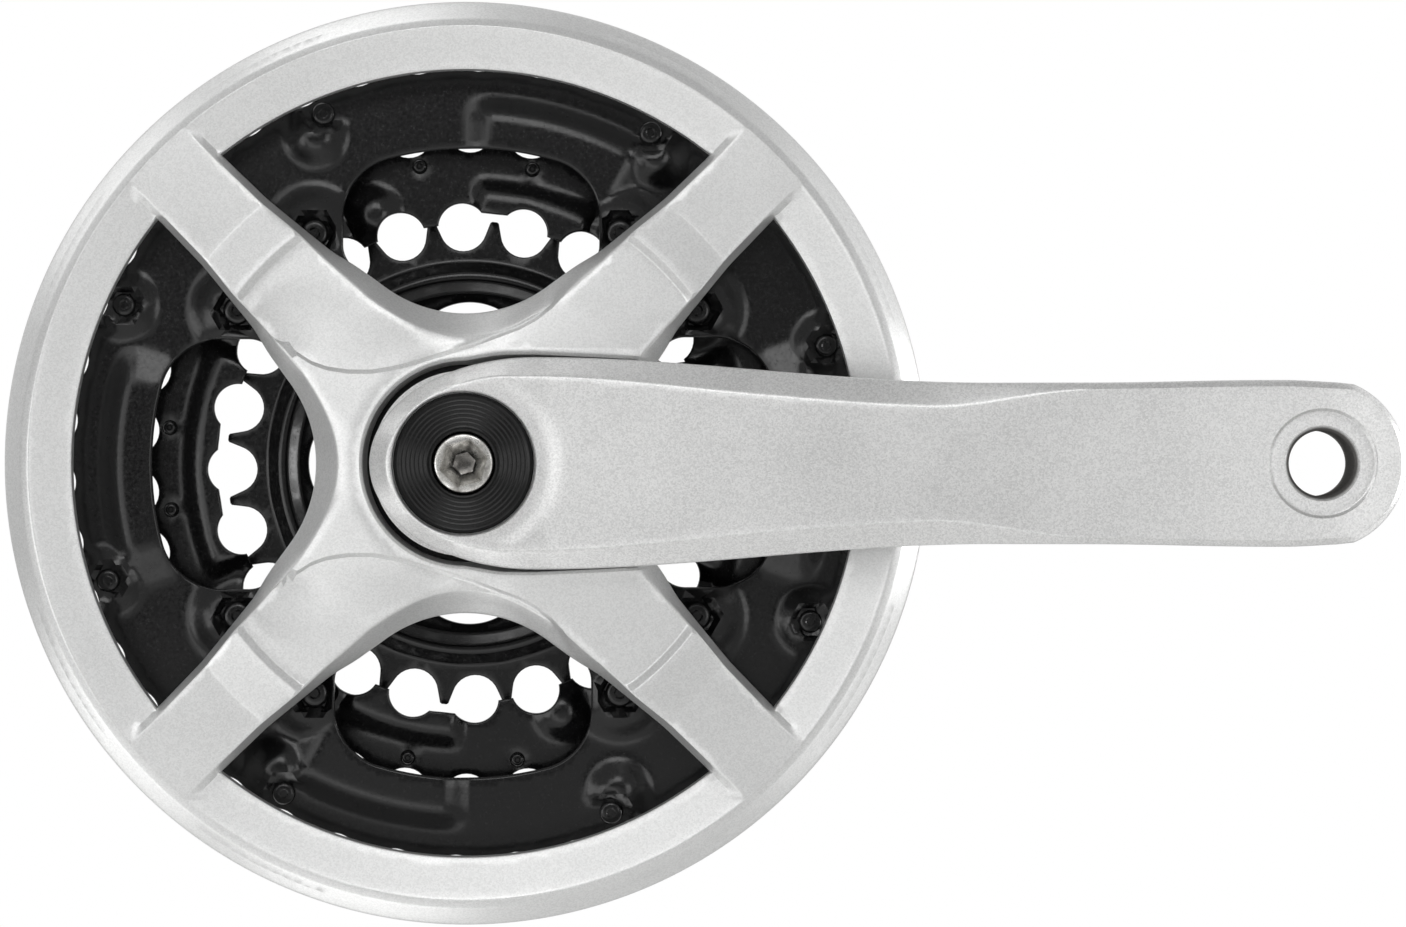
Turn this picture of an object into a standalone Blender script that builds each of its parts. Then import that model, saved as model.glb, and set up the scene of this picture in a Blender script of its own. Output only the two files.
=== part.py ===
"""Drive-side bicycle crankset: a square-taper crank arm, a chain guard and three riveted chainrings.

The crank turns about the Y axis, the arm points along +X, and the outboard side faces -Y.
The origin is on the crank's axis, at the inboard face of the arm's boss.
Lengths are in millimetres here, and MM turns them into Blender's metres.
A "depth" is a Y position measured from the large ring's front face: negative is outboard.
"""

import math

import bmesh
import bpy
from mathutils import Vector
from mathutils.geometry import delaunay_2d_cdt

MM = 0.001
GAP = 0.3                   # clearance between touching pieces
PAST = 3.0                  # how far a cutter runs beyond the surface it opens
SHARP_ANGLE = 30.0          # edges steeper than this are shaded sharp, in degrees

# Stack of rings along the axis
LARGE_RING_Y = -12.0        # world Y of the large ring's front face
RING_SPACING = 8.0
PLATE = 2.0                 # thickness of each ring
PITCH = 12.7
ROOT_DROP = 3.9             # from the pitch circle down to the tooth root
TIP_RISE = 2.5              # from the pitch circle up to the tooth tip
TIP_HALF_WIDTH = 0.85
VALLEY_RADIUS = 4.96
VALLEY_SPREAD = 70.0        # half angle of the round valley floor, in degrees
LARGE_TEETH, LARGE_PHASE = 42, 2.66
MIDDLE_TEETH, MIDDLE_PHASE = 34, 4.97
SMALL_TEETH, SMALL_PHASE = 24, 1.49
ARM_ANGLES = (45.0, 135.0, 225.0, 315.0)

# Large ring
WINDOW_OUTER_RADIUS = 65.6
WINDOW_CORNER_RADIUS = 12.4
WINDOW_HALF_WIDTH = 27.3
WINDOW_LOW_CORNER = (21.75, 45.0, 5.6)   # across, out from the axis, radius
WINDOW_FOOT = (6.0, 29.4)
LARGE_BORE = 17.3

# Middle ring
NOTCH_CENTRE_RADIUS = 49.3
NOTCH_RADIUS = 5.0
LAND_RADIUS = 50.0
OPEN_LAND_RADIUS = 52.3
OPEN_LANDS = (84, 264, 174, 189, 354, 9)  # directions of the lands that stay clear of the small teeth
FIRST_NOTCH = 16.49                       # angle from a tab's middle to the first notch
NOTCHES = 5                               # notches between two tabs
TAB_HALF_WIDTH = 9.3
TAB_INNER_RADIUS = 35.0

# Small ring: radius, and depth behind its own tooth plane
SMALL_PROFILE = ((42.5, 0.0), (39.9, -1.9), (38.4, -1.9), (36.0, 1.2), (34.1, 1.4))

# Rivets, shift pins and screws
RIVET_CIRCLE, RIVET_OFFSET = 57.0, 11.4
TAB_RIVET_CIRCLE = 39.2
LARGE_PIN_CIRCLE = 78.1
LARGE_PIN_STEPS = (2, 7, 13, 18, 23, 28, 34, 39)   # tooth gaps counted from the first
MIDDLE_PIN_CIRCLE = 62.8
MIDDLE_PIN_ANGLES = (9.0, 77.7, 99.3, 173.2, 188.9, 258.4, 279.4, 353.0)
SCREW_CIRCLE = 74.0
RIVET_SHANK, RIVET_HOLE, RIVET_HEAD = 2.0, 2.3, 3.0
TAB_RIVET_SHANK, TAB_RIVET_HOLE, TAB_RIVET_HEAD = 1.3, 1.6, 2.1
PIN_SHANK, PIN_HOLE = 1.5, 1.8
SMALL_PIN_SHANK, SMALL_PIN_HOLE = 0.8, 1.1
SCREW_SHANK, SCREW_HOLE = 1.6, 1.9
LARGE_PIN_HEAD, LARGE_PIN_REACH = 2.4, 2.2
SMALL_PIN_HEAD, SMALL_PIN_REACH = 1.4, 1.8
LARGE_PIN_TURN = 0.2                      # part of a tooth by which the pins trail their gaps
RIVET_CROWN, RIVET_CROWN_RADIUS = 0.9, 0.7     # rise of a head, and its top as a part of its radius
RIVET_COLLAR = 0.4                        # extra radius of the spacer collar
PIN_CROWN, PIN_CROWN_RADIUS, PIN_TAPER = 0.8, 0.75, 0.8
SCREW_HEAD, SCREW_CROWN = (3.4, 1.2), (2.2, 2.0)    # radius, rise above the ring's back
SCREW_TIP, SCREW_SHOULDER = -7.2, -6.4    # depths of the screw's end
POST_DRILL = -8.4                         # depth of the hole in a guard post

# Chain guard
GUARD_OUTER = 94.4
GUARD_INNER = 80.2
GUARD_CHAMFER = (90.5, -13.9)
GUARD_CREST = (88.8, -14.5)
GUARD_RIM_DEPTHS = (-9.0, -7.0)           # outer edge, front and back
GUARD_LIP_DEPTHS = (-12.6, -5.6)          # inner edge, front and back
GUARD_WALL = 2.0
GUARD_CHANNEL_DEPTH = -11.0
GUARD_BACK_DEPTH = -9.0
GUARD_EDGE_DEPTH = -10.4
GUARD_ARC_CENTRE = 58.6                   # the hollow between two arms is an arc about this point
GUARD_ARC_EDGE, GUARD_ARC_FACE = 28.0, 31.6
GUARD_ARC_EDGE_TURN, GUARD_ARC_FACE_TURN = 37.95, 38.76
GUARD_EDGE_WIDTHS = ((40.4, 13.64), (45.8, 12.7), (51.2, 11.2), (58.3, 10.4), (67.4, 9.45), (88.8, 9.05))
GUARD_FACE_WIDTHS = ((39.3, 10.03), (50.8, 9.25), (58.1, 9.05), (67.2, 8.1), (88.8, 7.7))
GUARD_FACE_DEPTHS = ((24.0, -19.0), (30.0, -18.2), (39.3, -16.9), (55.8, -15.8), (57.4, -17.0), (66.7, -14.5))
GUARD_ARC_STEPS = 5
CHANNEL_STEP = 0.2                        # how far the channel's walls lean
CHANNEL_END = 2.0                         # angle between a hollow's corner and the end of the channel
GUARD_STATIONS = (43.0, 47.0, 51.0, 55.8, 57.4, 62.0, 66.7, 74.0)
GUARD_HOLE = 20.2
GUARD_RECESS_RADIUS = 20.6
GUARD_RECESS_HALF = 22.3
GUARD_RECESS_SHOULDER = (7.0, 21.9)
GUARD_RECESS_END = 50.0
GUARD_RECESS_FLOOR = -13.2
POST_RADIUS = 4.6

# Crank arm
ARM_LENGTH = 170.0
BOSS_DEPTH = -28.0
EYE_DEPTH = -36.6
ARM_BACK_DEPTH = -15.0
EYE_BACK_DEPTH = -24.6
BOSS_END = (14.2, 33.2, 21.3)             # ellipse round the boss: centre, half length, half width
BOSS_FACE_END = (9.0, 24.4, 17.4)
BOSS_STEPS = 20
EYE_RADIUS = 16.9
EYE_EDGE = 1.2
EYE_TURN, EYE_STEPS = 100.0, 16           # half angle of the eye's arc
ARM_HALF_WIDTHS = (21.3, -5.3, 14.0, 105.0, 0.5, 125.0, 160.0)  # value, then change, start and end, twice
ARM_BEVEL_WIDTHS = (3.8, 1.1, 9.0, 59.0, -3.6, 92.0, 125.0)
ARM_BEVEL_DROPS = (4.0, -2.9, 70.0, 120.0, 0.0, 120.0, 121.0)
ARM_FRONT_RISE = (16.0, 150.0)            # between these the face swings out to the eye
ARM_BACK_RISE = (30.0, 150.0)
ARM_BACK_ROUND = 1.6                      # how far the back's edge is set forward
ARM_STATIONS = (22.0, 36.0, 50.0, 65.0, 80.0, 95.0, 110.0, 125.0, 140.0, 155.0)
BOSS_RADIUS = 18.7
NECK_RADIUS = 17.0
LIP_RADIUS = 18.3
COLLAR_RADIUS = 16.5
BOSS_TOP = -20.0                          # depth inside the arm at which the boss starts
BOSS_DRAFT, COLLAR_DRAFT = 0.3, 0.4
LIP_DEPTHS = (1.3, 2.6)                   # behind the large ring's back
CAP_SEAT = (14.4, -24.0)                  # radius, depth of its floor
EXTRACTOR_BORE = (11.0, -14.0)
WEB_HOLE = (4.5, -10.0)
SOCKET_HALF_MOUTH, SOCKET_HALF_END = 6.95, 6.2
PEDAL_HOLE, PEDAL_CHAMFER = 6.5, 7.5

# Bolt, washer and cap
CAP_RADIUS, CAP_HOLE, CAP_SLEEVE = 14.1, 6.4, 10.6
CAP_FACE, CAP_UNDERSIDE = -27.5, -24.3    # depths
CAP_BEVEL = 0.4
SLEEVE_END, SLEEVE_FLARE, FLARE_START = -18.2, 0.7, -19.5
BOLT_HEAD, BOLT_FLANGE, BOLT_SHANK = 6.1, 8.5, 4.0
BOLT_TOP, FLANGE_TOP, FLANGE_BACK, BOLT_END = -26.8, -17.6, -16.1, 6.0
HEAD_BEVEL, END_BEVEL = 0.5, 1.0
HEX_HALF = 4.0
HEX_TURN = 15.0
HEX_FLOOR = (2.5, 8.0)                    # radius and depth of the socket's cone below the head
HEX_DEPTH = 6.5
WASHER_RADIUS, WASHER_HOLE = 9.0, 4.35
WASHER_DEPTHS = (-15.8, -14.3)

SIDES_SMALL = 8
SIDES_MEDIUM = 24
SIDES_LARGE = 48
SIDES_GUARD = 64
RIM_STEPS = 12


def depth_y(depth):
    """World Y of a depth."""
    return LARGE_RING_Y + depth


def smooth(t):
    """Eased step from 0 to 1."""
    t = min(max(t, 0.0), 1.0)
    return t * t * (3.0 - 2.0 * t)


def between(pairs, at):
    """Straight-line value at a place along sorted (place, value) pairs."""
    if at <= pairs[0][0]:
        return pairs[0][1]
    for (a, low), (b, high) in zip(pairs, pairs[1:]):
        if at <= b:
            return low + (high - low) * (at - a) / (b - a)
    return pairs[-1][1]


def polar(radius, degrees, centre=(0.0, 0.0)):
    """Point at an angle round a centre, seen from outboard with +X right and +Z up."""
    turn = math.radians(degrees)
    return (centre[0] + radius * math.cos(turn), centre[1] + radius * math.sin(turn))


def arc(radius, start, stop, steps, centre=(0.0, 0.0)):
    """Points along an arc, both ends included."""
    return [polar(radius, start + (stop - start) * i / steps, centre) for i in range(steps + 1)]


def circle(radius, sides, centre=(0.0, 0.0)):
    return [polar(radius, 360.0 * i / sides, centre) for i in range(sides)]


def turned(point, degrees):
    """A point turned about the axis."""
    x, z = point
    c, s = math.cos(math.radians(degrees)), math.sin(math.radians(degrees))
    return (x * c - z * s, x * s + z * c)


# ---------------------------------------------------------------- scene and materials

def clear_scene():
    for old in list(bpy.data.objects):
        bpy.data.objects.remove(old, do_unlink=True)


def material(name, colour, roughness, metallic):
    made = bpy.data.materials.new(name)
    made.use_nodes = True
    shader = made.node_tree.nodes["Principled BSDF"]
    shader.inputs["Base Color"].default_value = (*colour, 1.0)
    shader.inputs["Roughness"].default_value = roughness
    shader.inputs["Metallic"].default_value = metallic
    return made


def finish_object(name, bm, finish):
    """Turns a closed bmesh in millimetres into a shaded object in metres."""
    bmesh.ops.recalc_face_normals(bm, faces=bm.faces)
    bmesh.ops.scale(bm, vec=(MM, MM, MM), verts=bm.verts)
    mesh = bpy.data.meshes.new(name)
    bm.to_mesh(mesh)
    bm.free()
    mesh.shade_smooth()
    mesh.set_sharp_from_angle(angle=math.radians(SHARP_ANGLE))
    if finish:
        mesh.materials.append(finish)
    made = bpy.data.objects.new(name, mesh)
    bpy.context.scene.collection.objects.link(made)
    return made


def hide_guide(guide):
    guide.hide_render = True
    guide.display_type = "WIRE"
    return guide


def boolean(target, operand, operation):
    """Leaves an exact Boolean on the target and hides the shape it uses."""
    cut = target.modifiers.new(operation.lower() + "_" + operand.name, "BOOLEAN")
    cut.operation = operation
    cut.object = hide_guide(operand)
    cut.solver = "EXACT"


# ---------------------------------------------------------------- shape makers

def turned_solid(name, profile, sides, finish=None, centre=(0.0, 0.0)):
    """Solid of revolution about a line along Y. The profile is (radius, depth) from end to end."""
    bm = bmesh.new()
    rings = []
    for radius, depth in profile:
        y = depth_y(depth)
        if radius == 0.0:
            rings.append([bm.verts.new((centre[0], y, centre[1]))])
        else:
            rings.append([bm.verts.new((x, y, z)) for x, z in circle(radius, sides, centre)])
    closed = profile[0][0] > 0.0
    pairs = list(zip(rings, rings[1:] + rings[:1])) if closed else list(zip(rings, rings[1:]))
    for first, second in pairs:
        for i in range(sides):
            j = (i + 1) % sides
            corners = [first[i % len(first)], first[j % len(first)], second[j % len(second)], second[i % len(second)]]
            bm.faces.new(list(dict.fromkeys(corners)))
    return finish_object(name, bm, finish)


def inside(point, loops):
    """Even-odd test of a point against several closed outlines."""
    x, z = point
    odd = False
    for loop in loops:
        for (ax, az), (bx, bz) in zip(loop, loop[1:] + loop[:1]):
            if (az > z) != (bz > z) and x < ax + (bx - ax) * (z - az) / (bz - az):
                odd = not odd
    return odd


class Line:
    """Points in the XZ plane with the depths of the front and back surfaces along them."""

    def __init__(self, points, front, back, edge=False, closed=True):
        self.points = points
        self.front = front if callable(front) else (lambda point, value=front: value)
        self.back = back if callable(back) else (lambda point, value=back: value)
        self.edge = edge
        self.closed = closed


def plate_solid(name, lines, finish):
    """Solid between a front and a back surface. Edge lines bound it, other lines are creases in it."""
    index, coords, heights, edges = {}, [], [], []
    for line in lines:
        chain = []
        for point in line.points:
            key = (round(point[0], 4), round(point[1], 4))
            if key not in index:
                index[key] = len(coords)
                coords.append(Vector(key))
                heights.append((line.front(point), line.back(point)))
            chain.append(index[key])
        links = list(zip(chain, chain[1:]))
        if line.closed:
            links.append((chain[-1], chain[0]))
        edges += links
    result = delaunay_2d_cdt(coords, edges, [], 0, 1e-6, True)
    places, faces, sources = result[0], result[2], result[3]
    outlines = [line.points for line in lines if line.edge]
    bm = bmesh.new()
    front, back = [], []
    for place, source in zip(places, sources):
        near, far = heights[source[0]]
        front.append(bm.verts.new((place.x, depth_y(near), place.y)))
        back.append(bm.verts.new((place.x, depth_y(far), place.y)))
    uses = {}
    for face in faces:
        middle = sum((places[i] for i in face), Vector((0.0, 0.0))) / len(face)
        if not inside(middle, outlines):
            continue
        bm.faces.new([front[i] for i in face])
        bm.faces.new([back[i] for i in reversed(face)])
        for a, b in zip(face, face[1:] + face[:1]):
            uses.setdefault(frozenset((a, b)), []).append((a, b))
    for sides in uses.values():
        if len(sides) == 1:
            a, b = sides[0]
            bm.faces.new([front[b], front[a], back[a], back[b]])
    bmesh.ops.delete(bm, geom=[v for v in bm.verts if not v.link_faces], context="VERTS")
    return finish_object(name, bm, finish)


# ---------------------------------------------------------------- chainrings

def tooth_outline(teeth, phase):
    """Closed outline of a sprocket: a round valley at the phase angle and every pitch after it."""
    pitch_radius = PITCH / 2.0 / math.sin(math.pi / teeth)
    valley_centre = pitch_radius - ROOT_DROP + VALLEY_RADIUS
    tip_radius = pitch_radius + TIP_RISE
    tip_turn = 180.0 / teeth - math.degrees(TIP_HALF_WIDTH / tip_radius)
    points = []
    for tooth in range(teeth):
        angle = phase + 360.0 / teeth * tooth
        centre = polar(valley_centre, angle)
        points.append(polar(tip_radius, angle - tip_turn))
        points += arc(VALLEY_RADIUS, angle + 180.0 + VALLEY_SPREAD, angle + 180.0 - VALLEY_SPREAD, 3, centre)
        points.append(polar(tip_radius, angle + tip_turn))
    return points


def half_window():
    """Right half of the large ring's window, from its top middle down: (across, out) points."""
    lean = math.asin((WINDOW_HALF_WIDTH - WINDOW_CORNER_RADIUS) / (WINDOW_OUTER_RADIUS - WINDOW_CORNER_RADIUS))
    lean = math.degrees(lean)
    corner = polar(WINDOW_OUTER_RADIUS - WINDOW_CORNER_RADIUS, 90.0 - lean)
    across, out, radius = WINDOW_LOW_CORNER
    points = arc(WINDOW_OUTER_RADIUS, 90.0, 90.0 - lean, 3)
    points += arc(WINDOW_CORNER_RADIUS, 90.0 - lean, 0.0, 6, corner)[1:]
    points += arc(radius, 0.0, -60.0, 4, (across, out))
    points.append(WINDOW_FOOT)
    return points


def large_window(direction):
    right = half_window()
    left = [(-across, out) for across, out in reversed(right[1:])]
    return [turned(point, direction - 90.0) for point in right + left]


def notch_turn(land):
    """Angle round a notch, from straight outward, at which it meets a land."""
    reach = land ** 2 - NOTCH_CENTRE_RADIUS ** 2 - NOTCH_RADIUS ** 2
    return math.degrees(math.acos(reach / (2.0 * NOTCH_CENTRE_RADIUS * NOTCH_RADIUS)))


def tab_turn(offset):
    """Angle round a notch, from straight outward, at which it meets a tab's side.

    The offset is the angle at the axis between the notch and the tab's middle.
    """
    along, across = polar(NOTCH_CENTRE_RADIUS, abs(offset))
    step = math.sqrt(NOTCH_RADIUS ** 2 - (across - TAB_HALF_WIDTH) ** 2)
    meeting = Vector((along - step, TAB_HALF_WIDTH)) - Vector((along, across))
    return math.degrees(meeting.angle(Vector((along, across))))


def middle_inner_outline():
    """Inner edge of the middle ring: a tab at each arm and a row of round notches between tabs."""
    points = []
    pitch = 360.0 / SMALL_TEETH
    tab_lean = math.degrees(math.asin(TAB_HALF_WIDTH / TAB_INNER_RADIUS))
    for start in ARM_ANGLES:
        points += arc(TAB_INNER_RADIUS, start - tab_lean, start + tab_lean, 4)
        notches = [start + FIRST_NOTCH + pitch * i for i in range(NOTCHES)]
        for i, angle in enumerate(notches):
            land_before = OPEN_LAND_RADIUS if is_open_land(angle - pitch / 2.0) else LAND_RADIUS
            land_after = OPEN_LAND_RADIUS if is_open_land(angle + pitch / 2.0) else LAND_RADIUS
            first = tab_turn(angle - start) if i == 0 else notch_turn(land_before)
            last = tab_turn(start + 90.0 - angle) if i == NOTCHES - 1 else notch_turn(land_after)
            centre = polar(NOTCH_CENTRE_RADIUS, angle)
            steps = 6 if i in (0, NOTCHES - 1) else 5
            points += arc(NOTCH_RADIUS, angle - first, angle + last, steps, centre)
    return points


def is_open_land(angle):
    return any(abs((angle - land + 180.0) % 360.0 - 180.0) < 3.0 for land in OPEN_LANDS)


def rivet_places():
    return [polar(RIVET_CIRCLE, arm + side * RIVET_OFFSET) for arm in ARM_ANGLES for side in (-1, 1)]


def tab_rivet_places():
    return [polar(TAB_RIVET_CIRCLE, arm) for arm in ARM_ANGLES]


def large_pin_places():
    step = 360.0 / LARGE_TEETH
    return [polar(LARGE_PIN_CIRCLE, LARGE_PHASE + step * (count - LARGE_PIN_TURN)) for count in LARGE_PIN_STEPS]


def middle_pin_places():
    return [polar(MIDDLE_PIN_CIRCLE, angle) for angle in MIDDLE_PIN_ANGLES]


def screw_places():
    return [polar(SCREW_CIRCLE, arm) for arm in ARM_ANGLES]


def holes(places, radius):
    return [circle(radius, SIDES_SMALL, place) for place in places]


def flat_ring(name, depth, outline, openings, finish):
    lines = [Line(points, depth, depth + PLATE, edge=True) for points in [outline] + openings]
    return plate_solid(name, lines, finish)


def large_chainring(finish):
    openings = [large_window(direction) for direction in (90.0, 180.0, 270.0, 360.0)]
    openings.append(circle(LARGE_BORE, SIDES_LARGE))
    openings += holes(rivet_places(), RIVET_HOLE)
    openings += holes(large_pin_places(), PIN_HOLE)
    openings += holes(screw_places(), SCREW_HOLE)
    return flat_ring("large_chainring", 0.0, tooth_outline(LARGE_TEETH, LARGE_PHASE), openings, finish)


def middle_chainring(finish):
    openings = [middle_inner_outline()]
    openings += holes(rivet_places(), RIVET_HOLE)
    openings += holes(tab_rivet_places(), TAB_RIVET_HOLE)
    openings += holes(middle_pin_places(), SMALL_PIN_HOLE)
    outline = tooth_outline(MIDDLE_TEETH, MIDDLE_PHASE)
    return flat_ring("middle_chainring", RING_SPACING, outline, openings, finish)


def small_chainring(finish):
    """Flat toothed rim with a raised bead and a dished inner flange."""
    plane = 2.0 * RING_SPACING
    lines = [Line(tooth_outline(SMALL_TEETH, SMALL_PHASE), plane, plane + PLATE, edge=True)]
    for radius, depth in SMALL_PROFILE:
        innermost = radius == SMALL_PROFILE[-1][0]
        front = plane + depth
        lines.append(Line(circle(radius, SIDES_LARGE), front, front + PLATE, edge=innermost))
    made = plate_solid("small_chainring", lines, finish)
    bead = plane + SMALL_PROFILE[1][1]
    for number, place in enumerate(tab_rivet_places(), 1):
        hole, seat = TAB_RIVET_HOLE, TAB_RIVET_HEAD + GAP
        drill = [(0.0, bead - PAST), (hole, bead - PAST), (hole, bead + PLATE), (seat, bead + PLATE)]
        drill += [(seat, bead + 2.0 * PAST), (0.0, bead + 2.0 * PAST)]
        boolean(made, turned_solid(f"small_ring_drill_{number}", drill, SIDES_SMALL, None, place), "DIFFERENCE")
    return made


# ---------------------------------------------------------------- fasteners

def spacer_rivet(name, front, far, shank, head, place, finish):
    """Rivet with a head at each end and a spacer collar between the plates at two depths."""
    near, tail = front + PLATE, far + PLATE + GAP
    profile = [
        (0.0, front - GAP - RIVET_CROWN),
        (head * RIVET_CROWN_RADIUS, front - GAP - RIVET_CROWN),
        (head, front - GAP),
        (shank, front - GAP),
        (shank, near + GAP),
        (head + RIVET_COLLAR, near + GAP),
        (head + RIVET_COLLAR, far - GAP),
        (shank, far - GAP),
        (shank, tail),
        (head, tail),
        (head * RIVET_CROWN_RADIUS, tail + RIVET_CROWN),
        (0.0, tail + RIVET_CROWN),
    ]
    return turned_solid(name, profile, SIDES_SMALL, finish, place)


def shift_pin(name, plane, shank, head, reach, place, finish):
    """Pin riveted through a ring, standing proud of its inboard face to lift the chain."""
    back = plane + PLATE + GAP
    profile = [
        (0.0, plane - GAP - PIN_CROWN),
        (head * PIN_CROWN_RADIUS, plane - GAP - PIN_CROWN),
        (head, plane - GAP),
        (shank, plane - GAP),
        (shank, back),
        (head, back),
        (head * PIN_TAPER, back + reach),
        (0.0, back + reach),
    ]
    return turned_solid(name, profile, SIDES_SMALL, finish, place)


def guard_screw(name, place, finish):
    """Screw from behind the large ring into a post of the guard."""
    head = PLATE + GAP
    profile = [
        (0.0, head + SCREW_CROWN[1]),
        (SCREW_CROWN[0], head + SCREW_CROWN[1]),
        (SCREW_HEAD[0], head + SCREW_HEAD[1]),
        (SCREW_HEAD[0], head),
        (SCREW_SHANK, head),
        (SCREW_SHANK, SCREW_SHOULDER),
        (0.0, SCREW_TIP),
    ]
    return turned_solid(name, profile, SIDES_SMALL, finish, place)


def crank_bolt(finish):
    """Bolt with a hexagon socket, a seating flange and a threaded shank, all on the crank's axis."""
    profile = [
        (0.0, BOLT_TOP),
        (BOLT_HEAD - HEAD_BEVEL, BOLT_TOP),
        (BOLT_HEAD, BOLT_TOP + HEAD_BEVEL),
        (BOLT_HEAD, FLANGE_TOP),
        (BOLT_FLANGE, FLANGE_TOP),
        (BOLT_FLANGE, FLANGE_BACK),
        (BOLT_SHANK, FLANGE_BACK),
        (BOLT_SHANK, BOLT_END - END_BEVEL),
        (BOLT_SHANK - END_BEVEL, BOLT_END),
        (0.0, BOLT_END),
    ]
    bolt = turned_solid("crank_bolt", profile, SIDES_MEDIUM, finish)
    corner = HEX_HALF / math.cos(math.radians(30.0))
    floor_radius, floor_depth = HEX_FLOOR
    socket = [
        (0.0, BOLT_TOP - PAST),
        (corner, BOLT_TOP - PAST),
        (corner, BOLT_TOP + HEX_DEPTH),
        (floor_radius, BOLT_TOP + floor_depth),
        (0.0, BOLT_TOP + floor_depth),
    ]
    key = turned_solid("bolt_socket_cutter", socket, 6)
    key.rotation_euler = (0.0, math.radians(-HEX_TURN), 0.0)
    boolean(bolt, key, "DIFFERENCE")
    return bolt


def bolt_washer(finish):
    front, back = WASHER_DEPTHS
    profile = [(WASHER_RADIUS, front), (WASHER_RADIUS, back), (WASHER_HOLE, back), (WASHER_HOLE, front)]
    return turned_solid("bolt_washer", profile, SIDES_MEDIUM, finish)


def bolt_cap(finish):
    """Cap that closes the extractor bore: a disc with a sleeve that keeps the bolt's flange in."""
    profile = [
        (CAP_HOLE, CAP_FACE),
        (CAP_RADIUS - CAP_BEVEL, CAP_FACE),
        (CAP_RADIUS, CAP_FACE + CAP_BEVEL),
        (CAP_RADIUS, CAP_UNDERSIDE),
        (CAP_SLEEVE, CAP_UNDERSIDE),
        (CAP_SLEEVE, SLEEVE_END),
        (CAP_HOLE + SLEEVE_FLARE, SLEEVE_END),
        (CAP_HOLE, FLARE_START),
    ]
    return turned_solid("bolt_cap", profile, SIDES_LARGE, finish)


# ---------------------------------------------------------------- crank arm

def two_steps(law, x):
    """A value that changes in two eased steps along the arm."""
    value, first, first_start, first_end, second, second_start, second_end = law
    value += first * smooth((x - first_start) / (first_end - first_start))
    return value + second * smooth((x - second_start) / (second_end - second_start))


def arm_half_width(x):
    return two_steps(ARM_HALF_WIDTHS, x)


def bevel_width(x):
    return two_steps(ARM_BEVEL_WIDTHS, x)


def bevel_drop(x):
    return two_steps(ARM_BEVEL_DROPS, x)


def swing(x, reach):
    """Part of the swing from the boss to the eye that is done at a place along the arm."""
    start, end = reach
    return math.sin(min(max((x - start) / (end - start), 0.0), 1.0) * math.pi / 2.0)


def arm_front(x):
    """Depth of the arm's face: flat on the boss, then rising outward to the eye."""
    return BOSS_DEPTH + (EYE_DEPTH - BOSS_DEPTH) * swing(x, ARM_FRONT_RISE)


def arm_back(x):
    return ARM_BACK_DEPTH + (EYE_BACK_DEPTH - ARM_BACK_DEPTH) * swing(x, ARM_BACK_RISE)


def arm_outline(end, inset, eye_radius):
    """Outline of the arm: half an ellipse at the boss, the two sides and the round eye."""
    centre, length, width = end
    points = []
    for i in range(BOSS_STEPS + 1):
        turn = math.radians(90.0 + 180.0 * i / BOSS_STEPS)
        points.append((centre + length * math.cos(turn), width * math.sin(turn)))
    stations = [(x, arm_half_width(x) - inset(x)) for x in ARM_STATIONS]
    points += [(x, -half) for x, half in stations]
    points += arc(eye_radius, -EYE_TURN, EYE_TURN, EYE_STEPS, (ARM_LENGTH, 0.0))
    points += [(x, half) for x, half in reversed(stations)]
    return points


def bevel_foot(point):
    """Depth at which the face's bevel meets the arm's side."""
    return arm_front(point[0]) + bevel_drop(point[0])


def arm_blank(finish):
    """The arm's forging without its boss: a face and a back joined by bevelled sides."""
    side = arm_outline(BOSS_END, lambda x: 0.0, EYE_RADIUS)
    face = arm_outline(BOSS_FACE_END, bevel_width, EYE_RADIUS - EYE_EDGE)
    lines = [
        Line(side, bevel_foot, lambda p: arm_back(p[0]) - ARM_BACK_ROUND, edge=True),
        Line(face, lambda p: arm_front(p[0]), lambda p: arm_back(p[0])),
    ]
    for x in ARM_STATIONS:
        half = arm_half_width(x) - bevel_width(x)
        rung = [(x, half), (x, 0.0), (x, -half)]
        lines.append(Line(rung, lambda p: arm_front(p[0]), lambda p: arm_back(p[0]), closed=False))
    return plate_solid("crank_arm", lines, finish)


def arm_boss():
    """Round boss behind the arm, with the neck and staked lip that hold the large ring."""
    profile = [
        (0.0, BOSS_TOP),
        (BOSS_RADIUS, BOSS_TOP),
        (BOSS_RADIUS - BOSS_DRAFT, -GAP),
        (NECK_RADIUS, -GAP),
        (NECK_RADIUS, PLATE + GAP),
        (LIP_RADIUS, PLATE + GAP),
        (LIP_RADIUS, PLATE + LIP_DEPTHS[0]),
        (COLLAR_RADIUS, PLATE + LIP_DEPTHS[1]),
        (COLLAR_RADIUS - COLLAR_DRAFT, -LARGE_RING_Y),
        (0.0, -LARGE_RING_Y),
    ]
    return turned_solid("arm_boss", profile, SIDES_LARGE)


def arm_bore_cutter():
    """Stepped bore from the front: cap seat, extractor bore and bolt hole."""
    profile = [
        (0.0, BOSS_DEPTH - PAST),
        (CAP_SEAT[0], BOSS_DEPTH - PAST),
        CAP_SEAT,
        (EXTRACTOR_BORE[0], CAP_SEAT[1]),
        EXTRACTOR_BORE,
        (WEB_HOLE[0], EXTRACTOR_BORE[1]),
        (WEB_HOLE[0], WEB_HOLE[1] + PAST),
        (0.0, WEB_HOLE[1] + PAST),
    ]
    return turned_solid("arm_bore_cutter", profile, SIDES_LARGE)


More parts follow.
